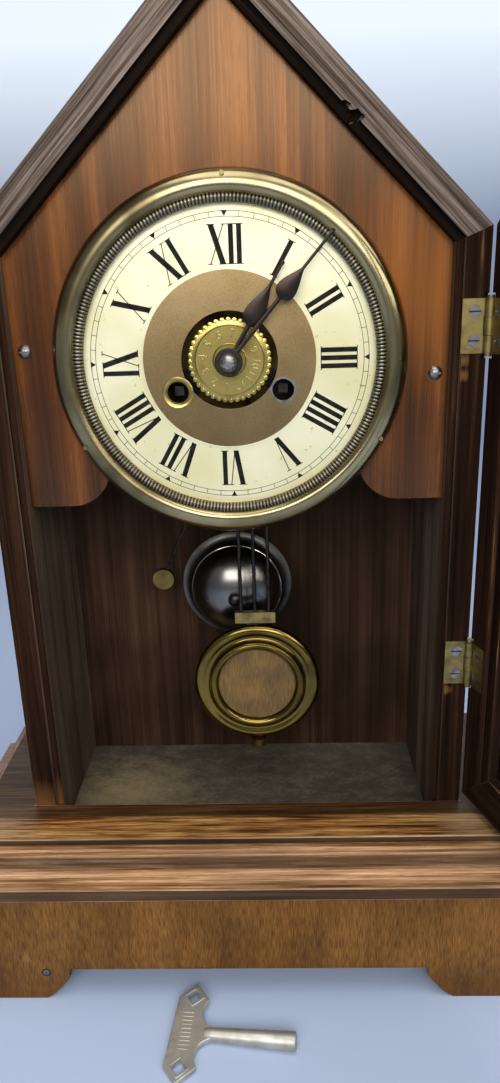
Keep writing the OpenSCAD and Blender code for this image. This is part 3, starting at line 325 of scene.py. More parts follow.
# Grey-brown lining paper on the floor of the case, paler towards the front left
FINISH["floor"] = grained_wood(
    "dusty_grey_floor", ("#403932", "#524a40", "#655b4f"), fibre=(1.2, 2, 0.4), streak=(7, 12, 0.5),
    bands=(60, 0.05), broad=(40, 0.5), pores=0.1, soil=0.25, raw="#8d7d5b",
    pale_spots=[((-62, CASE_FRONT + 24, 69), 44)], spot_depth=0.75, spot_edge=(1.0, 2.4), rough=(0.62, 0.75),
    relief=0.03)


# Metals

# Width of the unevenness of an old metal skin: the real one is finer, and is drawn this wide so that it shows
SKIN = 1.1


def aged_metal(name, clean, dull, rough, patch, relief=0.015, metallic=1.0):
    """Bare metal with tarnish in patches over a clean tone, and a slightly uneven skin."""
    material, tree, shader, place = new_material(name, {"Metallic": metallic})
    cloud = add(tree, "ShaderNodeTexNoise", {"Vector": place, "Scale": 1 / (patch * MM), "Detail": 3.0})
    speck = add(tree, "ShaderNodeTexNoise", {"Vector": place, "Scale": 1 / (SKIN * MM), "Detail": 2.0})
    dirt = add(tree, "ShaderNodeMapRange", {"Value": cloud, "From Min": 0.4, "From Max": 0.7})
    colour = add(tree, "ShaderNodeMix", {
        FACTOR: dirt, COLOUR_A: linear(clean), COLOUR_B: linear(dull)}, data_type="RGBA").outputs[MIXED]
    blur = add(tree, "ShaderNodeMapRange", {"Value": dirt, "To Min": rough[0], "To Max": rough[1]})
    bump = add(tree, "ShaderNodeBump", {"Height": speck, "Strength": 0.3, "Distance": relief * MM})
    feed(tree, shader, {"Base Color": colour, "Roughness": blur, "Normal": bump})
    return material


# Name, clean and dull tone, roughness of both and width of the tarnish patches
METALS = {
    # Spun brass under old lacquer: pale gold where handled, olive-brown elsewhere
    "bezel": ("lacquered_spun_brass", "#a3946d", "#5a4e33", (0.2, 0.34), 34),
    # Pressed brass rope, grey-brown, tarnished in patches
    "rope": ("tarnished_pressed_brass", "#8f866f", "#5f5846", (0.36, 0.5), 26),
    # Stamped sheet brass, still fairly bright
    "disc": ("stamped_sheet_brass", "#c6ae60", "#947f45", (0.28, 0.4), 8),
    # The same sheet where its raised numbers and beads are rubbed bright
    "rubbed_disc": ("rubbed_stamped_brass", "#e3d090", "#c5ae6a", (0.2, 0.3), 8),
    # Deep-drawn brass of the bob, browned in its steps
    "bob": ("drawn_bob_brass", "#7f6a34", "#43361a", (0.13, 0.24), 22),
    # Dull handled brass of hinges and small fittings
    "hinge": ("dull_fitting_brass", "#a08d58", "#6d5e38", (0.36, 0.5), 6),
    # Old brass of wheels and plates inside the movement
    "plate": ("old_movement_brass", "#7d683b", "#453820", (0.32, 0.48), 12),
    # Nickel plate on the dome of the bell, hazed by handling so that reflections are soft; its tone is
    # painted darker than nickel, a painted dark reflection of the room
    "nickel": ("hazed_nickel", "#827e78", "#625e58", (0.22, 0.3), 20),
    # Nickel plate along the rim of the bell, dull, and painted darker still as a painted dark reflection
    "rim_nickel_painted_dark": ("dulled_nickel", "#605c55", "#47433d", (0.34, 0.44), 9),
    # Nickel plate on the bead at the foot of the dome, painted pale: a painted highlight that draws a thin
    # white ring
    "bright_nickel": ("bright_nickel", "#e2dfd8", "#c2beb5", (0.1, 0.16), 20),
    # Worn nickel plate of the cast key, greyed by a film of dirt: its relief and metallic share follow
    "key": ("worn_key_nickel", "#c4c1b7", "#a7a296", (0.38, 0.5), 7, 0.03, 0.7),
    # Dull bright steel of screws and nuts
    "steel": ("dull_steel", "#a7a5a2", "#6a6560", (0.26, 0.42), 3),
    # Blackened steel of washers, arbors and wires; on the winding arbors deep in their holes its darkness is
    # partly painted shade, and on the floors of the screw slots it is painted shade
    "dark_steel": ("blackened_steel", "#3f3b37", "#25211e", (0.36, 0.5), 3),
    # Heat-blued steel of the hands, browned with age
    "blued": ("aged_blued_steel", "#352f2b", "#43362d", (0.3, 0.42), 8),
}
for finish, values in METALS.items():
    FINISH[finish] = aged_metal(*values)


# Dial, paper and glass

def dial_silvering():
    """Silvered and lacquered dial: greenish cream, satin, brushed across, with a few brown specks.

    The real brush lines are finer: they are drawn wider, so that they show.
    """
    brush_run, brush_width, cloud_size, speck_size = 14, 0.9, 30, 2.2
    material, tree, shader, place = new_material("silvered_cream_dial", {"Metallic": 0.45})
    stretch = Vector((1 / brush_run, 1, 1 / brush_width)) / MM
    brush = add(tree, "ShaderNodeVectorMath", {0: place, 1: stretch}, operation="MULTIPLY")
    lines = add(tree, "ShaderNodeTexNoise", {"Vector": brush, "Scale": 1.0, "Detail": 2.0})
    cloud = add(tree, "ShaderNodeTexNoise", {"Vector": place, "Scale": 1 / (cloud_size * MM), "Detail": 3.0})
    tint = add(tree, "ShaderNodeValToRGB", {"Fac": cloud}, [(0.35, "#e5dba6"), (0.62, "#f2eac2")])
    spots = add(tree, "ShaderNodeTexNoise", {"Vector": place, "Scale": 1 / (speck_size * MM), "Detail": 1.0})
    foxing = add(tree, "ShaderNodeMapRange", {
        "Value": spots, "From Min": 0.72, "From Max": 0.8, "To Max": 0.5})
    colour = add(tree, "ShaderNodeMix", {
        FACTOR: foxing, COLOUR_A: tint, COLOUR_B: linear("#a8925c")}, data_type="RGBA").outputs[MIXED]
    blur = add(tree, "ShaderNodeMapRange", {"Value": lines, "To Min": 0.3, "To Max": 0.46})
    feed(tree, shader, {"Base Color": colour, "Roughness": blur})
    return material


def centre_gilt():
    """Matte brown-gold bronze paint with a fine grit, drawn coarser than it is; darkened towards the foot as
    painted shade.
    """
    grit_size, cloud_size = 0.6, 22
    material, tree, shader, place = new_material("matte_bronze_paint", {"Metallic": 0.9})
    grit = add(tree, "ShaderNodeTexNoise", {"Vector": place, "Scale": 1 / (grit_size * MM), "Detail": 2.0})
    cloud = add(tree, "ShaderNodeTexNoise", {"Vector": place, "Scale": 1 / (cloud_size * MM), "Detail": 2.0})
    both = add(tree, "ShaderNodeMath", {0: grit, 1: cloud}, operation="ADD")
    tone = add(tree, "ShaderNodeMapRange", {"Value": both, "From Min": 0.6, "From Max": 1.4})
    tint = add(tree, "ShaderNodeValToRGB", {"Fac": tone}, [(0.0, "#987c4b"), (1.0, "#c3a575")])
    # Painted shade: the disc darkens towards its foot
    low, high = span("dial_centre")
    height = add(tree, "ShaderNodeSeparateXYZ", {0: place}).outputs["Z"]
    painted_foot_shade = add(tree, "ShaderNodeMapRange", {
        "Value": height, "From Min": low.z * MM, "From Max": high.z * MM, "To Min": 0.55, "To Max": 0.0})
    colour = add(tree, "ShaderNodeMix", {
        FACTOR: painted_foot_shade, COLOUR_A: tint, COLOUR_B: linear("#2a1e08")}, data_type="RGBA").outputs[MIXED]
    blur = add(tree, "ShaderNodeMapRange", {"Value": grit, "To Min": 0.28, "To Max": 0.4})
    feed(tree, shader, {"Base Color": colour, "Roughness": blur})
    return material


def printing_ink():
    """Black dial ink, faintly brown where it has thinned."""
    cloud_size = 3
    material, tree, shader, place = new_material("black_dial_ink", {"Specular IOR Level": 0.1})
    cloud = add(tree, "ShaderNodeTexNoise", {"Vector": place, "Scale": 1 / (cloud_size * MM), "Detail": 3.0})
    tint = add(tree, "ShaderNodeValToRGB", {"Fac": cloud}, [(0.4, "#121110"), (0.7, "#282420")])
    blur = add(tree, "ShaderNodeMapRange", {"Value": cloud, "To Min": 0.4, "To Max": 0.6})
    feed(tree, shader, {"Base Color": tint, "Roughness": blur})
    return material


def label_paper():
    """Tan paper disc, rubbed and foxed, with bare fibres that are drawn coarser than they are."""
    fibre_width, fibre_run, cloud_size = 0.7, 5, 12
    material, tree, shader, place = new_material("foxed_tan_paper", {})
    stretch = Vector((1 / fibre_width, 1, 1 / fibre_run)) / MM
    along = add(tree, "ShaderNodeVectorMath", {0: place, 1: stretch}, operation="MULTIPLY")
    hairs = add(tree, "ShaderNodeTexNoise", {"Vector": along, "Scale": 1.0, "Detail": 3.0})
    cloud = add(tree, "ShaderNodeTexNoise", {"Vector": place, "Scale": 1 / (cloud_size * MM), "Detail": 4.0})
    both = add(tree, "ShaderNodeMath", {0: hairs, 1: cloud}, operation="ADD")
    tone = add(tree, "ShaderNodeMapRange", {"Value": both, "From Min": 0.7, "From Max": 1.3})
    tint = add(tree, "ShaderNodeValToRGB", {"Fac": tone}, [(0.0, "#4b3716"), (1.0, "#7c5d2b")])
    blur = add(tree, "ShaderNodeMapRange", {"Value": cloud, "To Min": 0.55, "To Max": 0.75})
    feed(tree, shader, {"Base Color": tint, "Roughness": blur})
    return material


def window_glass():
    """Thin drawn window glass with a little dust."""
    dust_size = 20
    material, tree, shader, place = new_material("old_window_glass", {
        "Transmission Weight": 1.0, "IOR": 1.5, "Base Color": linear("#f2f7f5")})
    dust = add(tree, "ShaderNodeTexNoise", {"Vector": place, "Scale": 1 / (dust_size * MM), "Detail": 4.0})
    blur = add(tree, "ShaderNodeMapRange", {
        "Value": dust, "From Min": 0.4, "From Max": 0.8, "To Min": 0.01, "To Max": 0.12})
    feed(tree, shader, {"Roughness": blur})
    return material


FINISH["dial"] = dial_silvering()
FINISH["gilt"] = centre_gilt()
FINISH["ink"] = printing_ink()
FINISH["label"] = label_paper()
FINISH["glass"] = window_glass()


# Mesh tools

def object_of(name, data):
    made = bpy.data.objects.new(name, data)
    bpy.context.scene.collection.objects.link(made)
    return made


def shaded(mesh, sharp=32):
    """Smooth faces, with sharp edges where they meet at more than the given angle."""
    mesh.polygons.foreach_set("use_smooth", [True] * len(mesh.polygons))
    mesh.set_sharp_from_angle(angle=math.radians(sharp))
    return mesh


def mesh_from(bm):
    mesh = bpy.data.meshes.new("made")
    bm.to_mesh(mesh)
    bm.free()
    return mesh


def mesh_of(bm, sharp=32):
    """A closed mesh with outward faces."""
    bmesh.ops.remove_doubles(bm, verts=bm.verts, dist=1e-7)
    bmesh.ops.recalc_face_normals(bm, faces=bm.faces)
    return shaded(mesh_from(bm), sharp)


def joined(meshes, sharp=32):
    """Several closed meshes as one."""
    bm = bmesh.new()
    for mesh in meshes:
        bm.from_mesh(mesh)
    return shaded(mesh_from(bm), sharp)


def baked(shown, *helpers):
    """The plain mesh of an object with its modifiers applied; the object and its helpers are removed."""
    graph = bpy.context.evaluated_depsgraph_get()
    mesh = bpy.data.meshes.new_from_object(shown.evaluated_get(graph), depsgraph=graph)
    for spent in (shown, *helpers):
        bpy.data.objects.remove(spent)
    return mesh


def seated(name, mesh, node, *finishes, marks=None, replaces=True):
    """Put a mesh in the scene as a piece that rides with a solid, and usually stands for it."""
    mesh.name = name
    made = object_of(name, mesh)
    mesh.materials.clear()
    for finish in finishes:
        mesh.materials.append(FINISH[finish])
    mesh.polygons.foreach_set("material_index", marks or [0] * len(mesh.polygons))
    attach(made, BODY_OF[node])
    if replaces:
        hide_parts(node)


def around(steps):
    """Angles in radians, in even steps round a circle."""
    return [2 * math.pi * i / steps for i in range(steps)]


def arc(centre, radius, start, end, steps):
    """Points along a round stretch of a profile."""
    turns = [math.radians(start + (end - start) * i / steps) for i in range(steps + 1)]
    return [(centre[0] + radius * math.cos(t), centre[1] + radius * math.sin(t)) for t in turns]


def rectangle(left, low, right, high):
    return [(left, low), (right, low), (right, high), (left, high)]


def lofted(rings, closed=False):
    """A skin over rings of points, capped at its ends unless it closes on itself."""
    bm = bmesh.new()
    rows = [[bm.verts.new(MM * Vector(p)) for p in ring] for ring in rings]
    pairs = list(zip(rows, rows[1:])) + ([(rows[-1], rows[0])] if closed else [])
    for here, there in pairs:
        for k in range(len(here)):
            m = (k + 1) % len(here)
            bm.faces.new((here[k], here[m], there[m], there[k]))
    if not closed:
        bm.faces.new(rows[0])
        bm.faces.new(rows[-1])
    return bm


def lathe(profile, at, segments=160, sharp=32):
    """A closed profile of (radius, height towards the front), turned about a line along Y."""
    rings = [[(at[0] + r * math.cos(t), at[1] - h, at[2] + r * math.sin(t)) for r, h in profile]
             for t in around(segments)]
    return mesh_of(lofted(rings, closed=True), sharp)


def prism(bm, outline, thick):
    """Add a flat outline of (x, y) with a thickness along Z, in the ring frame."""
    bm.from_mesh(mesh_from(lofted([[(x, y, z) for x, y in outline] for z in (0, thick)])))


def fronted(mesh, at):
    """Turn a mesh from the ring frame to its place on the clock."""
    mesh.transform(Matrix.Translation(MM * Vector(at)) @ Matrix.Rotation(math.radians(90), 4, "X"))
    return mesh


def copies_tree():
    """Geometry Nodes: copies of a part, turned about Z in even steps."""
    tree = bpy.data.node_groups.new("evenly_turned_copies", "GeometryNodeTree")
    for name, kind in (("Part", "Object"), ("Count", "Int"), ("Finish", "Material")):
        tree.interface.new_socket(name, in_out="INPUT", socket_type="NodeSocket" + kind)
    tree.interface.new_socket("Geometry", in_out="OUTPUT", socket_type="NodeSocketGeometry")
    given = add(tree, "NodeGroupInput").outputs
    points = add(tree, "GeometryNodePoints", {"Count": given["Count"]})
    step = add(tree, "ShaderNodeMath", {0: 2 * math.pi, 1: given["Count"]}, operation="DIVIDE")
    index = add(tree, "GeometryNodeInputIndex")
    angle = add(tree, "ShaderNodeMath", {0: index, 1: step}, operation="MULTIPLY")
    euler = add(tree, "ShaderNodeCombineXYZ", {"Z": angle})
    turn = add(tree, "FunctionNodeEulerToRotation", {0: euler})
    part = add(tree, "GeometryNodeObjectInfo", {"Object": given["Part"]}).outputs["Geometry"]
    placed = add(tree, "GeometryNodeInstanceOnPoints", {"Points": points, "Instance": part, "Rotation": turn})
    whole = add(tree, "GeometryNodeRealizeInstances", {"Geometry": placed})
    shown = add(tree, "GeometryNodeSetMaterial", {"Geometry": whole, "Material": given["Finish"]})
    add(tree, "NodeGroupOutput", {"Geometry": shown})
    return tree


COPIES = copies_tree()


def turned_copies(part_mesh, count, finish):
    """Copies of a part in even steps round the ring frame's Z axis, as one plain mesh."""
    part = object_of("part", part_mesh)
    holder = object_of("holder", bpy.data.meshes.new("copies"))
    modifier = holder.modifiers.new("copies", "NODES")
    modifier.node_group = COPIES
    sockets = {item.name: item.identifier for item in COPIES.interface.items_tree}
    for name, value in (("Part", part), ("Count", count), ("Finish", FINISH[finish])):
        modifier[sockets[name]] = value
    return baked(holder, part)


def bent_rod(radius, thick, start, end, steps, sides, centre):
    """A round rod bent to an arc that stands on the ring frame's XZ plane."""
    rings = []
    for x, z in arc((0, 0), 1, start, end, steps):
        out = Vector((x, 0, z))
        at = Vector((centre[0], 0, centre[1])) + radius * out
        rings.append([at + thick * (math.cos(t) * out + Vector((0, math.sin(t), 0))) for t in around(sides)])
    return mesh_of(lofted(rings))


def stud(at, radii, segments=10, rows=6):
    """A small rounded lump in the ring frame."""
    bm = bmesh.new()
    bmesh.ops.create_uvsphere(bm, u_segments=segments, v_segments=rows, radius=1.0)
    size = Matrix.Diagonal((*(MM * Vector(radii)), 1))
    bmesh.ops.transform(bm, matrix=Matrix.Translation(MM * Vector(at)) @ size, verts=bm.verts)
    return mesh_of(bm, 60)


def longest_way(verts):
    """Direction of the longest edge of a board."""
    edges = [edge for vert in verts for edge in vert.link_edges]
    longest = max(edges, key=lambda edge: (round(edge.calc_length() / MM, 3), -edge.index))
    return longest.verts[1].co - longest.verts[0].co


# Step in metres through the figure from one board to the next, so that no two boards look alike
NEXT_BOARD = Vector((0.37, 0.11, 0.53))


def grain_along(mesh, along=None):
    """Give each separate board its own grain coordinates: two across, the third along the grain."""
    bm = bmesh.new()
    bm.from_mesh(mesh)
    layer = bm.verts.layers.float_vector.new("grain")
    bm.edges.index_update()
    left = {vert.index: vert for vert in bm.verts}
    shift = Vector()
    while left:
        front = [left.pop(min(left))]
        island = list(front)
        while front:
            for edge in front.pop().link_edges:
                fresh = [left.pop(vert.index) for vert in edge.verts if vert.index in left]
                island += fresh
                front += fresh
        axis = (Vector(along) if along else longest_way(island)).normalized()
        side = axis.cross(Vector((0, 1, 0) if abs(axis.y) < 0.9 else (1, 0, 0))).normalized()
        other = axis.cross(side)
        for vert in island:
            vert[layer] = Vector((vert.co.dot(side), vert.co.dot(other), vert.co.dot(axis))) + shift
        shift += NEXT_BOARD
    bm.to_mesh(mesh)
    bm.free()
    return mesh


def lump(at, radii, seed):
    """A rough lump, for taking a chip out of an edge."""
    roughness, waves = 0.35, 2.2
    bm = bmesh.new()
    bmesh.ops.create_icosphere(bm, subdivisions=3, radius=1.0)
    for vert in bm.verts:
        rough = 1 + roughness * noise.noise(waves * vert.co + Vector((seed, 0, 0)))
        vert.co = MM * (Vector(at) + Vector([c * r * rough for c, r in zip(vert.co, radii)]))
    return mesh_of(bm)


# Faces that turn less than this lie in one plane, and edges that turn more than this are arrises
FLAT_TURN, ARRIS_TURN = math.radians(1), math.radians(35)


def softened(node, width, along=None, finishes=("wall", "rubbed"), choose=None, chips=(), merge=0.001,
             least=0.0):
    """A solid's own shape with its arrises rounded; these take the second finish, or a rule picks.

    Corners closer than merge become one, and arrises shorter than least stay sharp.
    """
    bm = bmesh.new()
    bm.from_mesh(NODES[node].data)
    bmesh.ops.remove_doubles(bm, verts=bm.verts, dist=merge * MM)
    bmesh.ops.dissolve_limit(bm, angle_limit=FLAT_TURN, verts=bm.verts, edges=bm.edges)
    arris = bm.edges.layers.float.new("bevel_weight_edge")
    for edge in bm.edges:
        if edge.is_convex and edge.calc_face_angle(0) > ARRIS_TURN and edge.calc_length() > least * MM:
            edge[arris] = 1.0
    mesh = mesh_from(bm)
    mesh.materials.append(None)
    mesh.materials.append(None)
    holder = object_of(node + "_holder", mesh)
    bevel = holder.modifiers.new("arris", "BEVEL")
    bevel.width = width * MM
    bevel.segments = 2
    bevel.limit_method = "WEIGHT"
    bevel.material = 1
    cutters = [object_of("chip", lump(*chip)) for chip in chips]
    for cutter in cutters:
        cut = holder.modifiers.new("chip", "BOOLEAN")
        cut.operation = "DIFFERENCE"
        cut.solver = "MANIFOLD"
        cut.object = cutter
    rounded = baked(holder, *cutters)
    marks = [choose(face) if choose else face.material_index for face in rounded.polygons]
    eased = object_of(node + "_eased", shaded(grain_along(rounded, along)))
    flat = eased.modifiers.new("flat_faces", "WEIGHTED_NORMAL")
    flat.keep_sharp = True
    flat.weight = 90
    seated(node + "_shaped", baked(eased), node, *finishes, marks=marks)


# Case, base and door boards

ACROSS, UPRIGHT = (1, 0, 0), (0, 0, 1)
# Chips in the front edge of the right roof board: x and z, radii and a seed for the roughness
ROOF_CHIPS = [((50.2, 385.5), (4.2, 5, 3.0), 0.3), ((46.4, 389.5), (3.2, 3.5, 2.0), 4.1)]


def boards():
    """Walls lined inside, roof painted near black underneath as painted shade, and the plain boards."""
    for board, inward in (("wall_left", 1), ("wall_right", -1)):
        softened(board, 0.7, UPRIGHT, ("wall", "rubbed", "lining"),
                 lambda face: 2 if inward * face.normal.x > 0.9 else face.material_index)
    behind = (CASE_FRONT + 1) * MM

    # Faces under the roof and the inner front edges take the near-black finish: painted shade
    def roof_face(face):
        inner_front = face.center.y > behind and face.normal.y < -0.5
        return 2 if face.normal.z < -0.3 or inner_front else face.material_index

    chips = [((x, CASE_FRONT - 1, z), radii, seed) for (x, z), radii, seed in ROOF_CHIPS]
    softened("roof_left", 0.8, None, ("roof", "rubbed", "soot"), roof_face)
    softened("roof_right", 0.8, None, ("roof", "rubbed", "soot"), roof_face, chips)
    softened("dial_board", 0.5, UPRIGHT, ("dial_board", "rubbed"))
    softened("back_board", 0.4, UPRIGHT, ("back", "back"))
    softened("base_board", 0.5, ACROSS, ("back", "back"))
    softened("dial_cleats", 0.4, None, ("back", "back"))
    softened("floor_panel", 0.3, ACROSS, ("floor", "floor"))
    for board in ("plinth_front", "plinth_sides", "plinth_back"):
        softened(board, 0.6, UPRIGHT, ("plinth", "plinth"))
    softened("door_frame", 0.7)
    softened("glazing_beads", 0.4)


def moulding():
    """Base moulding: veneered deck, rubbed ogee with painted shade across its middle, dark fascia and pale
    edge lines that are partly painted highlight; the lip's upright face takes the fascia's dark finish as
    painted shade.
    """
    fascia_height, lip_height, deck_play = 6.4, 3.4, 0.6
    fascia_top = (span("base_moulding")[0].z + fascia_height) * MM
    lip_foot = (DECK_TOP - lip_height) * MM
    deck_foot = (DECK_TOP - deck_play) * MM

    def layer_of(face):
        if face.material_index:
            return 3
        if face.normal.z > 0.9 and face.center.z > deck_foot:
            return 1
        # The upright face of the lip takes the dark fascia finish: painted shade
        on_lip = abs(face.normal.z) < 0.2 and face.center.z > lip_foot
        return 2 if on_lip or face.center.z < fascia_top else 0

    finishes = ("moulding", "deck", "fascia", "arris")
    softened("base_moulding", 0.5, None, finishes, layer_of, merge=0.08, least=60)


def foot_nail():
    """Pale nail head in a dark ring on the left foot."""
    at = (-96.9, PLINTH_FRONT, 16.1)
    head_r, ring_r, segments = 1.6, 2.1, 32
    ring = lathe(rectangle(head_r, 0, ring_r, 0.12), at, segments)
    seated("foot_nail_ring", ring, "plinth_front", "dark_steel", replaces=False)
    head = lathe([(0, -0.5), (head_r, -0.5), (head_r, 0.1), (1.1, 0.25), (0, 0.3)], at, segments)
    seated("foot_nail_head", head, "plinth_front", "steel", replaces=False)


boards()
moulding()
foot_nail()


# Dial

def bezel():
    """Spun bezel: rounded outside, hollow inner slope and a flange on the dial."""
    low, high = span("bezel")
    height = high.y - low.y
    rim, cove_r, seat, underside = 1.0, 3.1, 1.8, 1.05
    round_r = height - rim
    crest = half_width("bezel") - round_r
    slope_foot = crest - 2.1
    skirt = slope_foot + 0.2
    flange = crest - 6.5
    profile = [(crest + round_r, 0)] + arc((crest, rim), round_r, 0, 90, 14)
    profile += arc((crest - 0.3, height - cove_r), cove_r, 90, 170, 10)[1:]
    profile += [(slope_foot - 0.9, 4.2), (slope_foot, seat), (flange + 0.1, seat), (flange, seat - 0.2),
                (flange, underside), (skirt, underside), (skirt, 0)]
    seated("bezel_spun", lathe(profile, (DIAL_X, high.y, DIAL_Z), 220), "bezel", "bezel")


def rope_ring():
    """Roped ring: close radial ribs over a half-round core in a darker finish."""
    low, high = span("rope_ring")
    ribs, rib_share, lift_share = 268, 0.62, 0.7
    tube = (high.y - low.y) / (1 + lift_share)
    ring_r = half_width("rope_ring") - tube
    rib = rib_share * math.pi * ring_r / ribs
    at = (DIAL_X, high.y, DIAL_Z)
    centre = (ring_r, lift_share * tube)
    core = lathe(arc(centre, tube - 1.3 * rib, -40, 220, 16), at, 220)
    part = bent_rod(tube - rib, rib, -30, 210, 10, 6, centre)
    wound = fronted(turned_copies(part, ribs, "rope"), at)
    marks = [1] * len(core.polygons) + [0] * len(wound.polygons)
    seated("rope_ribbed", joined([core, wound], 60), "rope_ring", "rope", "dark_steel", marks=marks)


NUMERALS = ["XII", "I", "II", "III", "IIII", "V", "VI", "VII", "VIII", "IX", "X", "XI"]
NUMERAL_IN, NUMERAL_OUT = 38.3, 53.7
STEM = 2.0
HAIRLINE = 0.4
SERIF = 0.36
INK = 0.03
INK_OVER = 0.035
# Each letter: width, strokes (x at the foot, x at the head, thickness), serifs (x, foot or head, length)
LETTERS = {
    "I": (3.3, [(0, 0, STEM)], [(0, 0, 3.3), (0, 1, 3.3)]),
    "V": (7.2, [(0.3, -2.4, 2.2), (0.8, 2.7, HAIRLINE)], [(-2.4, 1, 3.4), (2.7, 1, 2.0)]),
    "X": (8.0, [(2.4, -2.4, 2.3), (-2.8, 2.8, HAIRLINE)],
          [(-2.4, 1, 3.3), (2.8, 1, 1.9), (2.4, 0, 3.3), (-2.8, 0, 1.9)]),
}


def numeral(letters, hour):
    """One Roman numeral in ink, its head towards the rim."""
    bm = bmesh.new()
    x = -sum(LETTERS[c][0] for c in letters) / 2
    for c in letters:
        width, strokes, serifs = LETTERS[c]
        mid = x + width / 2
        x += width
        for foot, head, thick in strokes:
            half = thick / 2
            prism(bm, [(mid + foot - half, NUMERAL_IN), (mid + foot + half, NUMERAL_IN),
                       (mid + head + half, NUMERAL_OUT), (mid + head - half, NUMERAL_OUT)], INK)
        for at, end, length in serifs:
            base = NUMERAL_IN + end * (NUMERAL_OUT - NUMERAL_IN - SERIF)
            left = mid + at - length / 2
            prism(bm, rectangle(left, base, left + length, base + SERIF), INK_OVER)
    bmesh.ops.transform(bm, matrix=Matrix.Rotation(math.radians(-30 * hour), 4, "Z"), verts=bm.verts)
    return mesh_of(bm)


def dial_printing():
    """Numerals, the two minute circles, their ticks and the hour wedges, as thin ink."""
    inner, outer, half_line, half_wedge = 56.4, 58.5, 0.11, 1.3
    at = (DIAL_X, DIAL_FACE, DIAL_Z)
    inked = [fronted(numeral(letters, hour), at) for hour, letters in enumerate(NUMERALS)]
    inked += [lathe(rectangle(r - half_line, 0, r + half_line, INK), at, 240) for r in (inner, outer)]
    tick = bmesh.new()
    prism(tick, rectangle(inner, -half_line, outer, half_line), INK)
    wedge = bmesh.new()
    prism(wedge, [(inner + 0.1, 0), (outer + 0.2, -half_wedge), (outer + 0.2, half_wedge)], INK_OVER)
    for mark, count in ((tick, 60), (wedge, 12)):
        inked.append(fronted(turned_copies(mesh_of(mark), count, "ink"), at))
    seated("dial_printing", joined(inked), "dial_plate", "ink", replaces=False)


def centre_fittings():
    """Light border of the bronze centre, the brass eyelet and the scuffed edge of the other winding hole."""
    face = span("dial_centre")[0].y
    outer = half_width("dial_centre")
    border = [(outer - 0.5, 0), (outer - 0.5, 0.06), (outer - 0.25, 0.12), (outer, 0.06), (outer, 0)]
    seated("centre_border", lathe(border, (DIAL_X, face, DIAL_Z), 200), "dial_centre", "dial", replaces=False)
    eye = middle("winding_grommet")
    hole, scuff, ragged, waves = 4.65, 0.75, 0.8, 2.6
    eyelet = [(hole, -3), (hole + 0.25, -3), (hole + 0.25, 0), (hole + 2.0, 0), (hole + 2.0, 0.25),
              (hole + 1.6, 0.5), (hole + 1.1, 0.35), (hole + 0.5, 0.15), (hole, -0.4)]
    seated("winding_eyelet", lathe(eyelet, (eye.x, face, eye.z), 72), "winding_grommet", "disc")
    rings = []
    for turn in around(90):
        way = Vector((math.cos(turn), math.sin(turn)))
        rub = hole + scuff + ragged * noise.noise((waves * way.x, waves * way.y, 0.7))
        rings.append([(2 * DIAL_X - eye.x + r * way.x, face - h, eye.z + r * way.y)
                      for r, h in ((hole, 0), (hole, 0.05), (rub, 0.02), (rub, 0))])
    scuffed = mesh_of(lofted(rings, closed=True))
    seated("winding_hole_scuff", scuffed, "dial_centre", "steel", replaces=False)


# Number that stands uppermost on the alarm disc, between two of its marks
NUMBER_UP = 6.73
NUMBER_SIZE = 4.8


def stamped_number(number, radius, at):
    """A number stamped up from the sheet, its head towards the rim."""
    curve = bpy.data.curves.new("number", "FONT")
    curve.body = str(number)
    curve.align_x = "CENTER"
    curve.align_y = "CENTER"
    curve.size = NUMBER_SIZE * MM
    curve.extrude = 0.2 * MM
    curve.bevel_depth = 0.1 * MM
    curve.resolution_u = 3
    mesh = baked(object_of("number", curve))
    turn = Matrix.Rotation(math.radians(-30 * (number - NUMBER_UP)), 4, "Z")
    mesh.transform(turn @ Matrix.Translation((0, radius * MM, 0)))
    return fronted(mesh, at)


def alarm_disc():
    """Stamped alarm disc: scalloped edge with a bead in each scallop, ring lines and raised numbers."""
    front = span("alarm_disc")[0].y
    scallops, lobe, sheet, hole, boss_r, boss_depth = 40, 1.3, 0.8, 3.05, 5, 3.2
    root = half_width("alarm_disc") - 0.2 - lobe
    face = (DIAL_X, front + sheet, DIAL_Z)
    profile = [(hole, 0), (hole, sheet)]
    for line in (6.9, root - 1.9):
        profile += [(line - 0.3, sheet), (line, sheet + 0.2), (line + 0.3, sheet)]
    body = lathe(profile + [(root, sheet - 0.15), (root, 0)], face, 120)
    boss = lathe(rectangle(hole, -boss_depth, boss_r, 0), face, 48)
    scallop = stud((root, 0, 0.35 * sheet), (lobe, lobe, 0.42))
    bead = stud((root - 0.2, 0, 0.75 * sheet), (0.5, 0.4, 0.3), 8, 5)
    plain = [body, boss, fronted(turned_copies(scallop, scallops, "disc"), face)]
    rubbed = [fronted(turned_copies(bead, scallops, "rubbed_disc"), face)]
    rubbed += [stamped_number(n, 0.67 * root, (DIAL_X, front, DIAL_Z)) for n in range(1, 13)]
    marks = [0] * sum(len(m.polygons) for m in plain) + [1] * sum(len(m.polygons) for m in rubbed)
    seated("alarm_disc_stamped", joined(plain + rubbed), "alarm_disc", "disc", "rubbed_disc", marks=marks)


# Hands: half width of the tip, length and swell of the bead that ends it
TIP_HALF, TIP_BEAD, TIP_SWELL = 0.62, 1.6, 0.32
# Section of a hand, in shares of its half width and of its crown
HAND_SECTION = [(-1, 0), (-1, 0.45), (-0.5, 0.88), (0, 1), (0.5, 0.88), (1, 0.45), (1, 0)]


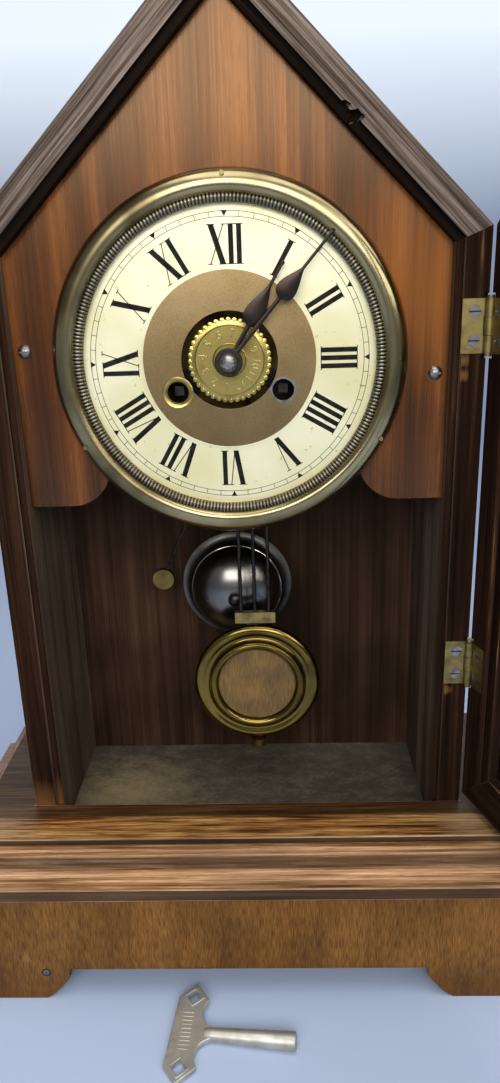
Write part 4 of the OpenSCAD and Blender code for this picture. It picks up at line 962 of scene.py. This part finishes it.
def hand(node, lobe, wide, hub):
    """Blued hand: slim stem, pear-shaped lobe with a domed face, fine tip ending in a tiny bead.

    lobe gives the shares of the length at which the lobe starts and ends.
    """
    low, high = span(node)
    tip = max((v.co / MM for v in NODES[node].data.vertices),
              key=lambda p: (p.x - DIAL_X) ** 2 + (p.z - DIAL_Z) ** 2)
    reach = Vector((tip.x - DIAL_X, tip.z - DIAL_Z))
    tip_gap, stem_half, stem_taper, stations = 0.2, 1.0, 0.25, 72
    length = reach.length - tip_gap
    thick = high.y - low.y
    rings = []
    for i in range(stations + 1):
        d = length * i / stations
        share = (d / length - lobe[0]) / (lobe[1] - lobe[0])
        if 0 < share < 1:
            half = max(TIP_HALF, wide * math.sin(math.pi * share ** 0.5) ** 1.15)
        else:
            half = stem_half - stem_taper * d / length if share <= 0 else TIP_HALF
        if d > length - TIP_BEAD:
            half = TIP_HALF + TIP_SWELL * math.sin(math.pi * (d - length + TIP_BEAD) / TIP_BEAD)
        crown = thick * (0.55 + 0.45 * min(1.0, half / wide))
        rings.append([(x * half, d, h * crown) for x, h in HAND_SECTION])
    blade = mesh_of(lofted(rings), 45)
    blade.transform(Matrix.Rotation(-math.atan2(reach.x, reach.y), 4, "Z"))
    at = (DIAL_X, high.y, DIAL_Z)
    bore = hub - 2.4
    collar = lathe([(bore, 0), (hub, 0), (hub, 0.6 * thick), (hub - 0.4, thick), (bore, thick)], at, 48)
    seated(node + "_domed", joined([fronted(blade, at), collar], 45), node, "blued")


def hand_nut():
    """Domed steel nut on a dark washer."""
    low, high = span("hand_nut")
    at = (DIAL_X, high.y, DIAL_Z)
    bore, washer_r, washer_top, nut_r = 1.25, 5.8, 0.8, 3.8
    washer = [(bore, 0), (washer_r, 0), (washer_r, 0.5), (washer_r - 0.3, washer_top), (bore, washer_top)]
    seated("hand_washer", lathe(washer, at, 64), "hand_nut", "dark_steel")
    height = high.y - low.y
    nut_foot = washer_top + 0.05
    nut = [(0, nut_foot), (nut_r - 0.2, nut_foot), (nut_r, nut_foot + 0.25)]
    nut += arc((0, height - nut_r), nut_r, 8, 66, 8)
    nut += [(1.3, height - 0.25), (1.1, height - 0.05), (0, height)]
    seated("hand_nut_domed", lathe(nut, at, 64), "hand_nut", "steel")


bezel()
rope_ring()
dial_printing()
centre_fittings()
alarm_disc()
hand("hour_hand", (0.36, 0.8), 4.4, 4.8)
hand("minute_hand", (0.5, 0.75), 4.2, 4.2)
hand_nut()


# Bell, pendulum and key

def bell():
    """Nickelled bell: hazed dome, a bead at its foot and a dull flared rim; dome and rim are painted dark as
    a painted reflection, the bead pale as a painted highlight.
    """
    low, high = span("bell")
    mid = middle("bell")
    radius, depth = half_width("bell"), high.y - low.y
    wall, bead, hole, waist_share, rim_share = 1.0, 0.8, 1.3, 0.8, 0.27
    waist, rim = waist_share * radius, rim_share * depth

    def section(r, d):
        """Dome and flared rim of a radius and a depth."""
        foot, neck = rim_share * d, waist_share * r
        dome = [(neck * math.sin(math.radians(a)), foot + (d - foot) * math.cos(math.radians(a)))
                for a in range(4, 85, 4)]
        flare = [(neck + (r - neck) * (1 - math.cos(math.radians(a))), foot * (1 - math.sin(math.radians(a))))
                 for a in range(18, 91, 9)]
        return [(hole, d)] + dome, flare

    dome, flare = section(radius, depth)
    inside = sum(section(radius - wall, depth - wall), [])
    roll = arc((waist, rim), bead, 75, -75, 10)
    mesh = lathe(dome + roll + flare + inside[::-1], (mid.x, high.y, mid.z), 160, 40)
    marks = []
    for face in mesh.polygons:
        away = math.hypot(face.center.x / MM - mid.x, face.center.z / MM - mid.z)
        on_roll = waist < away < waist + bead and abs(high.y - face.center.y / MM - rim) < bead
        # The bead takes the pale nickel of the painted highlight; rim and dome take nickel painted dark as a
        # painted reflection
        marks.append(2 if on_roll else 1 if away > waist else 0)
    seated("bell_turned", mesh, "bell", "nickel", "rim_nickel_painted_dark", "bright_nickel", marks=marks)


# Half section of the bob from the middle of its back to the middle of its face: share of the radius, height
BOB_SECTION = [
    (0.0, -4.5), (0.4, -4.3), (0.75, -3.2), (1.0, -1.2), (1.0, 0.4), (0.985, 1.3), (0.955, 2.1), (0.92, 2.5),
    (0.885, 2.4), (0.85, 1.9), (0.82, 1.5), (0.785, 1.5), (0.762, 2.2), (0.748, 3.3), (0.725, 4.3),
    (0.695, 4.9), (0.665, 4.9), (0.64, 4.4), (0.625, 3.4), (0.615, 2.45), (0.0, 2.45)]
KNURLS = 130


def bob():
    """Drawn brass bob: rolled rim, valley, knurled ring and a flat seat for the label."""
    radius = half_width("pendulum_bob")
    mid = middle("pendulum_bob")
    at = (mid.x, middle("pendulum_rods").y, mid.z)
    turned = lathe([(share * radius, height) for share, height in BOB_SECTION], at, 160, 50)
    knurl = turned_copies(stud((0.712 * radius, 0, 4.35), (1.2, 0.28, 0.6), 6, 5), KNURLS, "bob")
    seated("bob_turned", joined([turned, fronted(knurl, at)], 50), "pendulum_bob", "bob")


def label():
    """Paper disc, slightly cockled, with nothing printed on it."""
    low, high = span("bob_label")
    mid = middle("bob_label")
    cockle, waves, lift = 0.12, 0.16, 0.1
    back = high.y + 0.05
    rings = []
    for t in around(96):
        edge = half_width("bob_label") * Vector((math.cos(t), math.sin(t)))
        ring = [(mid.x, back, mid.z)]
        for x, z in [0.2 * i * edge for i in range(6)]:
            y = low.y - lift + cockle * noise.noise((waves * x, waves * z, 2.0))
            ring.append((mid.x + x, y, mid.z + z))
        ring.append((mid.x + edge.x, back, mid.z + edge.y))
        rings.append(ring)
    seated("bob_label_paper", mesh_of(lofted(rings, closed=True), 60), "bob_label", "label")


# Key: place, turns about Z, Y and X, then width, length and thickness of the bow, and length, neck and mouth
# radius of the pipe
KEY_AT = (-17.1, -137.7, 3.0)
KEY_TURN, KEY_PITCH, KEY_ROLL = -6.8, 1.7, 2.75
KEY_BOW = (14.4, 49.0, 2.4)
KEY_PIPE = (39.4, 2.91, 4.1)
KEY_EYE, KEY_EYE_RIM = 3.85, 5.3
KEY_SQUARE, KEY_SQUARE_DEPTH = 2.1, 13
# Ribs across the bow: count, spacing, half length, width and how far each steps aside
RIBS, RIB_STEP, RIB_HALF, RIB_WIDTH, RIB_SLANT = 10, 2.0, 2.4, 0.7, 0.12


def flat_shape(outlines, thick, edge, lift=0.0):
    """A flat shape with holes and rounded edges, from closed outlines of (x, y)."""
    curve = bpy.data.curves.new("flat_shape", "CURVE")
    curve.dimensions = "2D"
    curve.fill_mode = "BOTH"
    for outline in outlines:
        line = curve.splines.new("POLY")
        line.points.add(len(outline) - 1)
        for point, (x, y) in zip(line.points, outline):
            point.co = (x * MM, y * MM, 0, 1)
        line.use_cyclic_u = True
    curve.extrude = (thick / 2 - edge) * MM
    curve.bevel_depth = edge * MM
    curve.bevel_resolution = 2
    curve.offset = -edge * MM
    mesh = baked(object_of("flat_shape", curve))
    mesh.transform(Matrix.Translation((0, 0, lift * MM)))
    return mesh


def key_bow():
    """Bow with pointed ends and raised square eyes, hollowed waist and a row of ribs."""
    wide, long, thick = KEY_BOW
    half, corner, gap = long / 2, wide / 2, wide / 4
    eye = half - corner
    far = -gap - wide
    hollow = arc((0.23 * wide, 0.45 * half), 0.59 * wide, 140, 262, 14)
    upper = [(far, eye), (far + corner, half), (-gap, eye)] + [p for p in hollow if p[0] < 1.0]
    outline = upper + [(x, -y) for x, y in reversed(upper)]
    eyes, rims = [[arc((far + corner, s * eye), size, 0, 270, 3) for s in (1, -1)]
                  for size in (KEY_EYE, KEY_EYE_RIM)]
    parts = [flat_shape([outline] + eyes, thick, 0.4)]
    parts += [flat_shape([rim, hole], 0.9, 0.25, thick / 2) for rim, hole in zip(rims, eyes)]
    for i in range(RIBS):
        aside = i - (RIBS - 1) / 2
        x = far + 0.47 * wide + RIB_SLANT * aside
        y = -RIB_STEP * aside
        rib = rectangle(x - RIB_HALF, y, x + RIB_HALF, y + RIB_WIDTH)
        parts.append(flat_shape([rib], 0.5, 0.12, thick / 2))
    return parts


def key_pipe():
    """Flaring round pipe with a square hole in its mouth."""
    length, neck, mouth = KEY_PIPE
    turns = [Vector((math.cos(t), math.sin(t))) for t in around(48)]
    outside = [(-2.5, 0.8 * neck), (-0.8, 0.95 * neck), (1.5, neck), (length - 0.5, mouth - 0.02),
               (length, mouth - 0.4)]
    rings = [[(u, *(radius * way)) for way in turns] for u, radius in outside]
    rings += [[(u, *(KEY_SQUARE / max(abs(way.x), abs(way.y)) * way)) for way in turns]
              for u in (length, length - KEY_SQUARE_DEPTH)]
    return mesh_of(lofted(rings))


def winding_key():
    """Cast key, lying on the table."""
    mesh = joined(key_bow() + [key_pipe()], 40)
    aim = Matrix.Translation(MM * Vector(KEY_AT))
    for angle, axis in ((KEY_TURN, "Z"), (-KEY_PITCH, "Y"), (KEY_ROLL, "X")):
        aim = aim @ Matrix.Rotation(math.radians(angle), 4, axis)
    mesh.transform(aim)
    seated("winding_key_cast", mesh, "winding_key", "key")


bell()
bob()
label()
winding_key()


# Finishes of the solids whose own shape shows
KEPT = {
    "dial": ["dial_plate"],
    "gilt": ["dial_centre"],
    "steel": ["dial_fixings", "pillar_nuts", "case_screws", "door_screws"],
    # The winding arbors take blackened steel partly as painted shade: they sit deep in the winding holes
    "dark_steel": ["anchor", "time_winder", "alarm_winder", "bell_post", "suspension_spring", "pendulum_rods",
                   "hammer"],
    "plate": ["front_plate", "back_plate", "plate_pillars", "suspension_cock", "centre_arbor", "minute_wheel",
              "hour_wheel", "third_wheel", "escape_wheel", "time_barrel", "time_click", "alarm_barrel",
              "alarm_click", "alarm_wheel", "rating_nut"],
    "hinge": ["hinge_case_leaves", "hinge_door_leaves", "hinge_pins", "door_hook"],
    "back": ["movement_feet"],
    "glass": ["door_glass"],
}


def finish_kept():
    for finish, nodes in KEPT.items():
        for node in nodes:
            NODES[node].data.materials.clear()
            NODES[node].data.materials.append(FINISH[finish])


def second_finish(node, finish, chosen):
    """Give a second finish to the faces of a kept solid whose corners, in millimetres, pass a test."""
    mesh = NODES[node].data
    mesh.materials.append(FINISH[finish])
    for face in mesh.polygons:
        if chosen([mesh.vertices[i].co / MM for i in face.vertices]):
            face.material_index = len(mesh.materials) - 1


def small_metals():
    """Brass hammer head and crossbars on dark wires, brass pins in the bezel, screw slots darkened as painted
    shade and hook screws.
    """
    head_r, rod_reach, bar_gap, bezel_reach, hook_reach, slot_depth = 5.5, 1.0, 20, 76, 6, 0.6
    low = span("hammer")[0]
    head = Vector((low.x + head_r, low.z + head_r))
    second_finish("hammer", "plate", lambda points: all(
        (Vector((p.x, p.z)) - head).length < head_r + 0.2 for p in points))
    mid_y = middle("pendulum_rods").y
    rods = [v.co / MM for v in NODES["pendulum_rods"].data.vertices]
    bars = [p.z for p in rods if abs(p.y - mid_y) > rod_reach]

    def on_a_bar(points):
        heights = [p.z for p in points]
        level = max(heights) - min(heights) < bar_gap
        return level and all(any(abs(z - bar) < 0.1 for bar in bars) for z in heights)

    second_finish("pendulum_rods", "hinge", on_a_bar)
    second_finish("dial_fixings", "hinge", lambda points: all(
        math.hypot(p.x - DIAL_X, p.z - DIAL_Z) < bezel_reach for p in points))
    hook_z = middle("door_hook").z
    for screws in ("case_screws", "door_screws"):
        second_finish(screws, "hinge", lambda points: all(abs(p.z - hook_z) < hook_reach for p in points))

    # Floors of the screw slots take blackened steel: painted shade in the slots
    def on_a_slot_floor(points):
        level = len({round(p.y, 2) for p in points}) == 1
        return level and all(p.x > 0 and 0 < p.y - CASE_FRONT < slot_depth for p in points)

    second_finish("case_screws", "dark_steel", on_a_slot_floor)


finish_kept()
small_metals()


# Stage, light and camera

def sweep():
    """Pale floor that curves up into a backdrop, which is lighter towards its top."""
    half, front, bend, rise, radius = 4000, -4000, 1200, 4000, 800
    glow_from, glow_full = 450, 950
    path = [(front, 0), (bend, 0)] + arc((bend, radius), radius, -80, 0, 8) + [(bend + radius, rise)]
    bm = bmesh.new()
    rows = [[bm.verts.new(MM * Vector((x, y, z))) for x in (-half, half)] for y, z in path]
    for here, there in zip(rows, rows[1:]):
        bm.faces.new((here[0], here[1], there[1], there[0]))
    mesh = mesh_from(bm)
    mesh.polygons.foreach_set("use_smooth", [True] * len(mesh.polygons))
    material, tree, shader, place = new_material("pale_lavender_paper", {
        "Roughness": 0.9, "Base Color": linear("#abb9d2"), "Emission Color": linear("#d2d8d6")})
    height = add(tree, "ShaderNodeSeparateXYZ", {0: place}).outputs["Z"]
    glow = add(tree, "ShaderNodeMapRange", {
        "Value": height, "From Min": glow_from * MM, "From Max": glow_full * MM})
    rays = add(tree, "ShaderNodeLightPath").outputs
    seen = rays["Is Camera Ray"]
    for kind in ("Is Glossy Ray", "Is Transmission Ray"):
        seen = add(tree, "ShaderNodeMath", {0: seen, 1: rays[kind]}, operation="MAXIMUM")
    glow = add(tree, "ShaderNodeMath", {0: glow, 1: seen}, operation="MULTIPLY")
    feed(tree, shader, {"Emission Strength": glow})
    mesh.materials.append(material)
    made = object_of("floor_sweep", mesh)


def lamp(name, at, towards, size, watts):
    """A soft white lamp; its place, aim and size are in metres."""
    light = bpy.data.lights.new(name, "AREA")
    light.shape = "RECTANGLE"
    light.size, light.size_y = size
    light.energy = watts
    made = object_of(name, light)
    made.location = at
    made.rotation_euler = (Vector(towards) - Vector(at)).to_track_quat("-Z", "Y").to_euler()


def light_and_camera():
    lamp("front_window", (0.0, -1.35, 0.86), (0, -0.05, 0.3), (1.3, 0.6), 16)
    lamp("soft_top", (0.2, -0.35, 1.7), (0, -0.05, 0.25), (1.6, 1.2), 17)
    lamp("right_fill", (0.95, -0.75, 0.9), (0, -0.05, 0.25), (1.0, 0.8), 6)
    world = bpy.data.worlds.new("room")
    bpy.context.scene.world = world
    world.use_nodes = True
    sky = world.node_tree.nodes["Background"]
    feed(world.node_tree, sky, {"Color": linear("#e3e9f6"), "Strength": 0.3})
    camera = bpy.data.cameras.new("photo_camera")
    camera.sensor_fit = "VERTICAL"
    camera.sensor_height = 24.0
    camera.lens = FOCAL_PX / IMAGE_H * camera.sensor_height
    camera.clip_start = 0.01
    made = object_of("photo_camera", camera)
    aim = Matrix.Translation(MM * Vector(CAMERA_AT))
    for angle, axis in ((CAMERA_YAW, "Z"), (CAMERA_PITCH, "X"), (CAMERA_ROLL, "Y"), (90, "X")):
        aim = aim @ Matrix.Rotation(math.radians(angle), 4, axis)
    made.matrix_world = aim
    bpy.context.scene.camera = made
    bpy.context.scene.view_settings.view_transform = "Standard"


sweep()
light_and_camera()
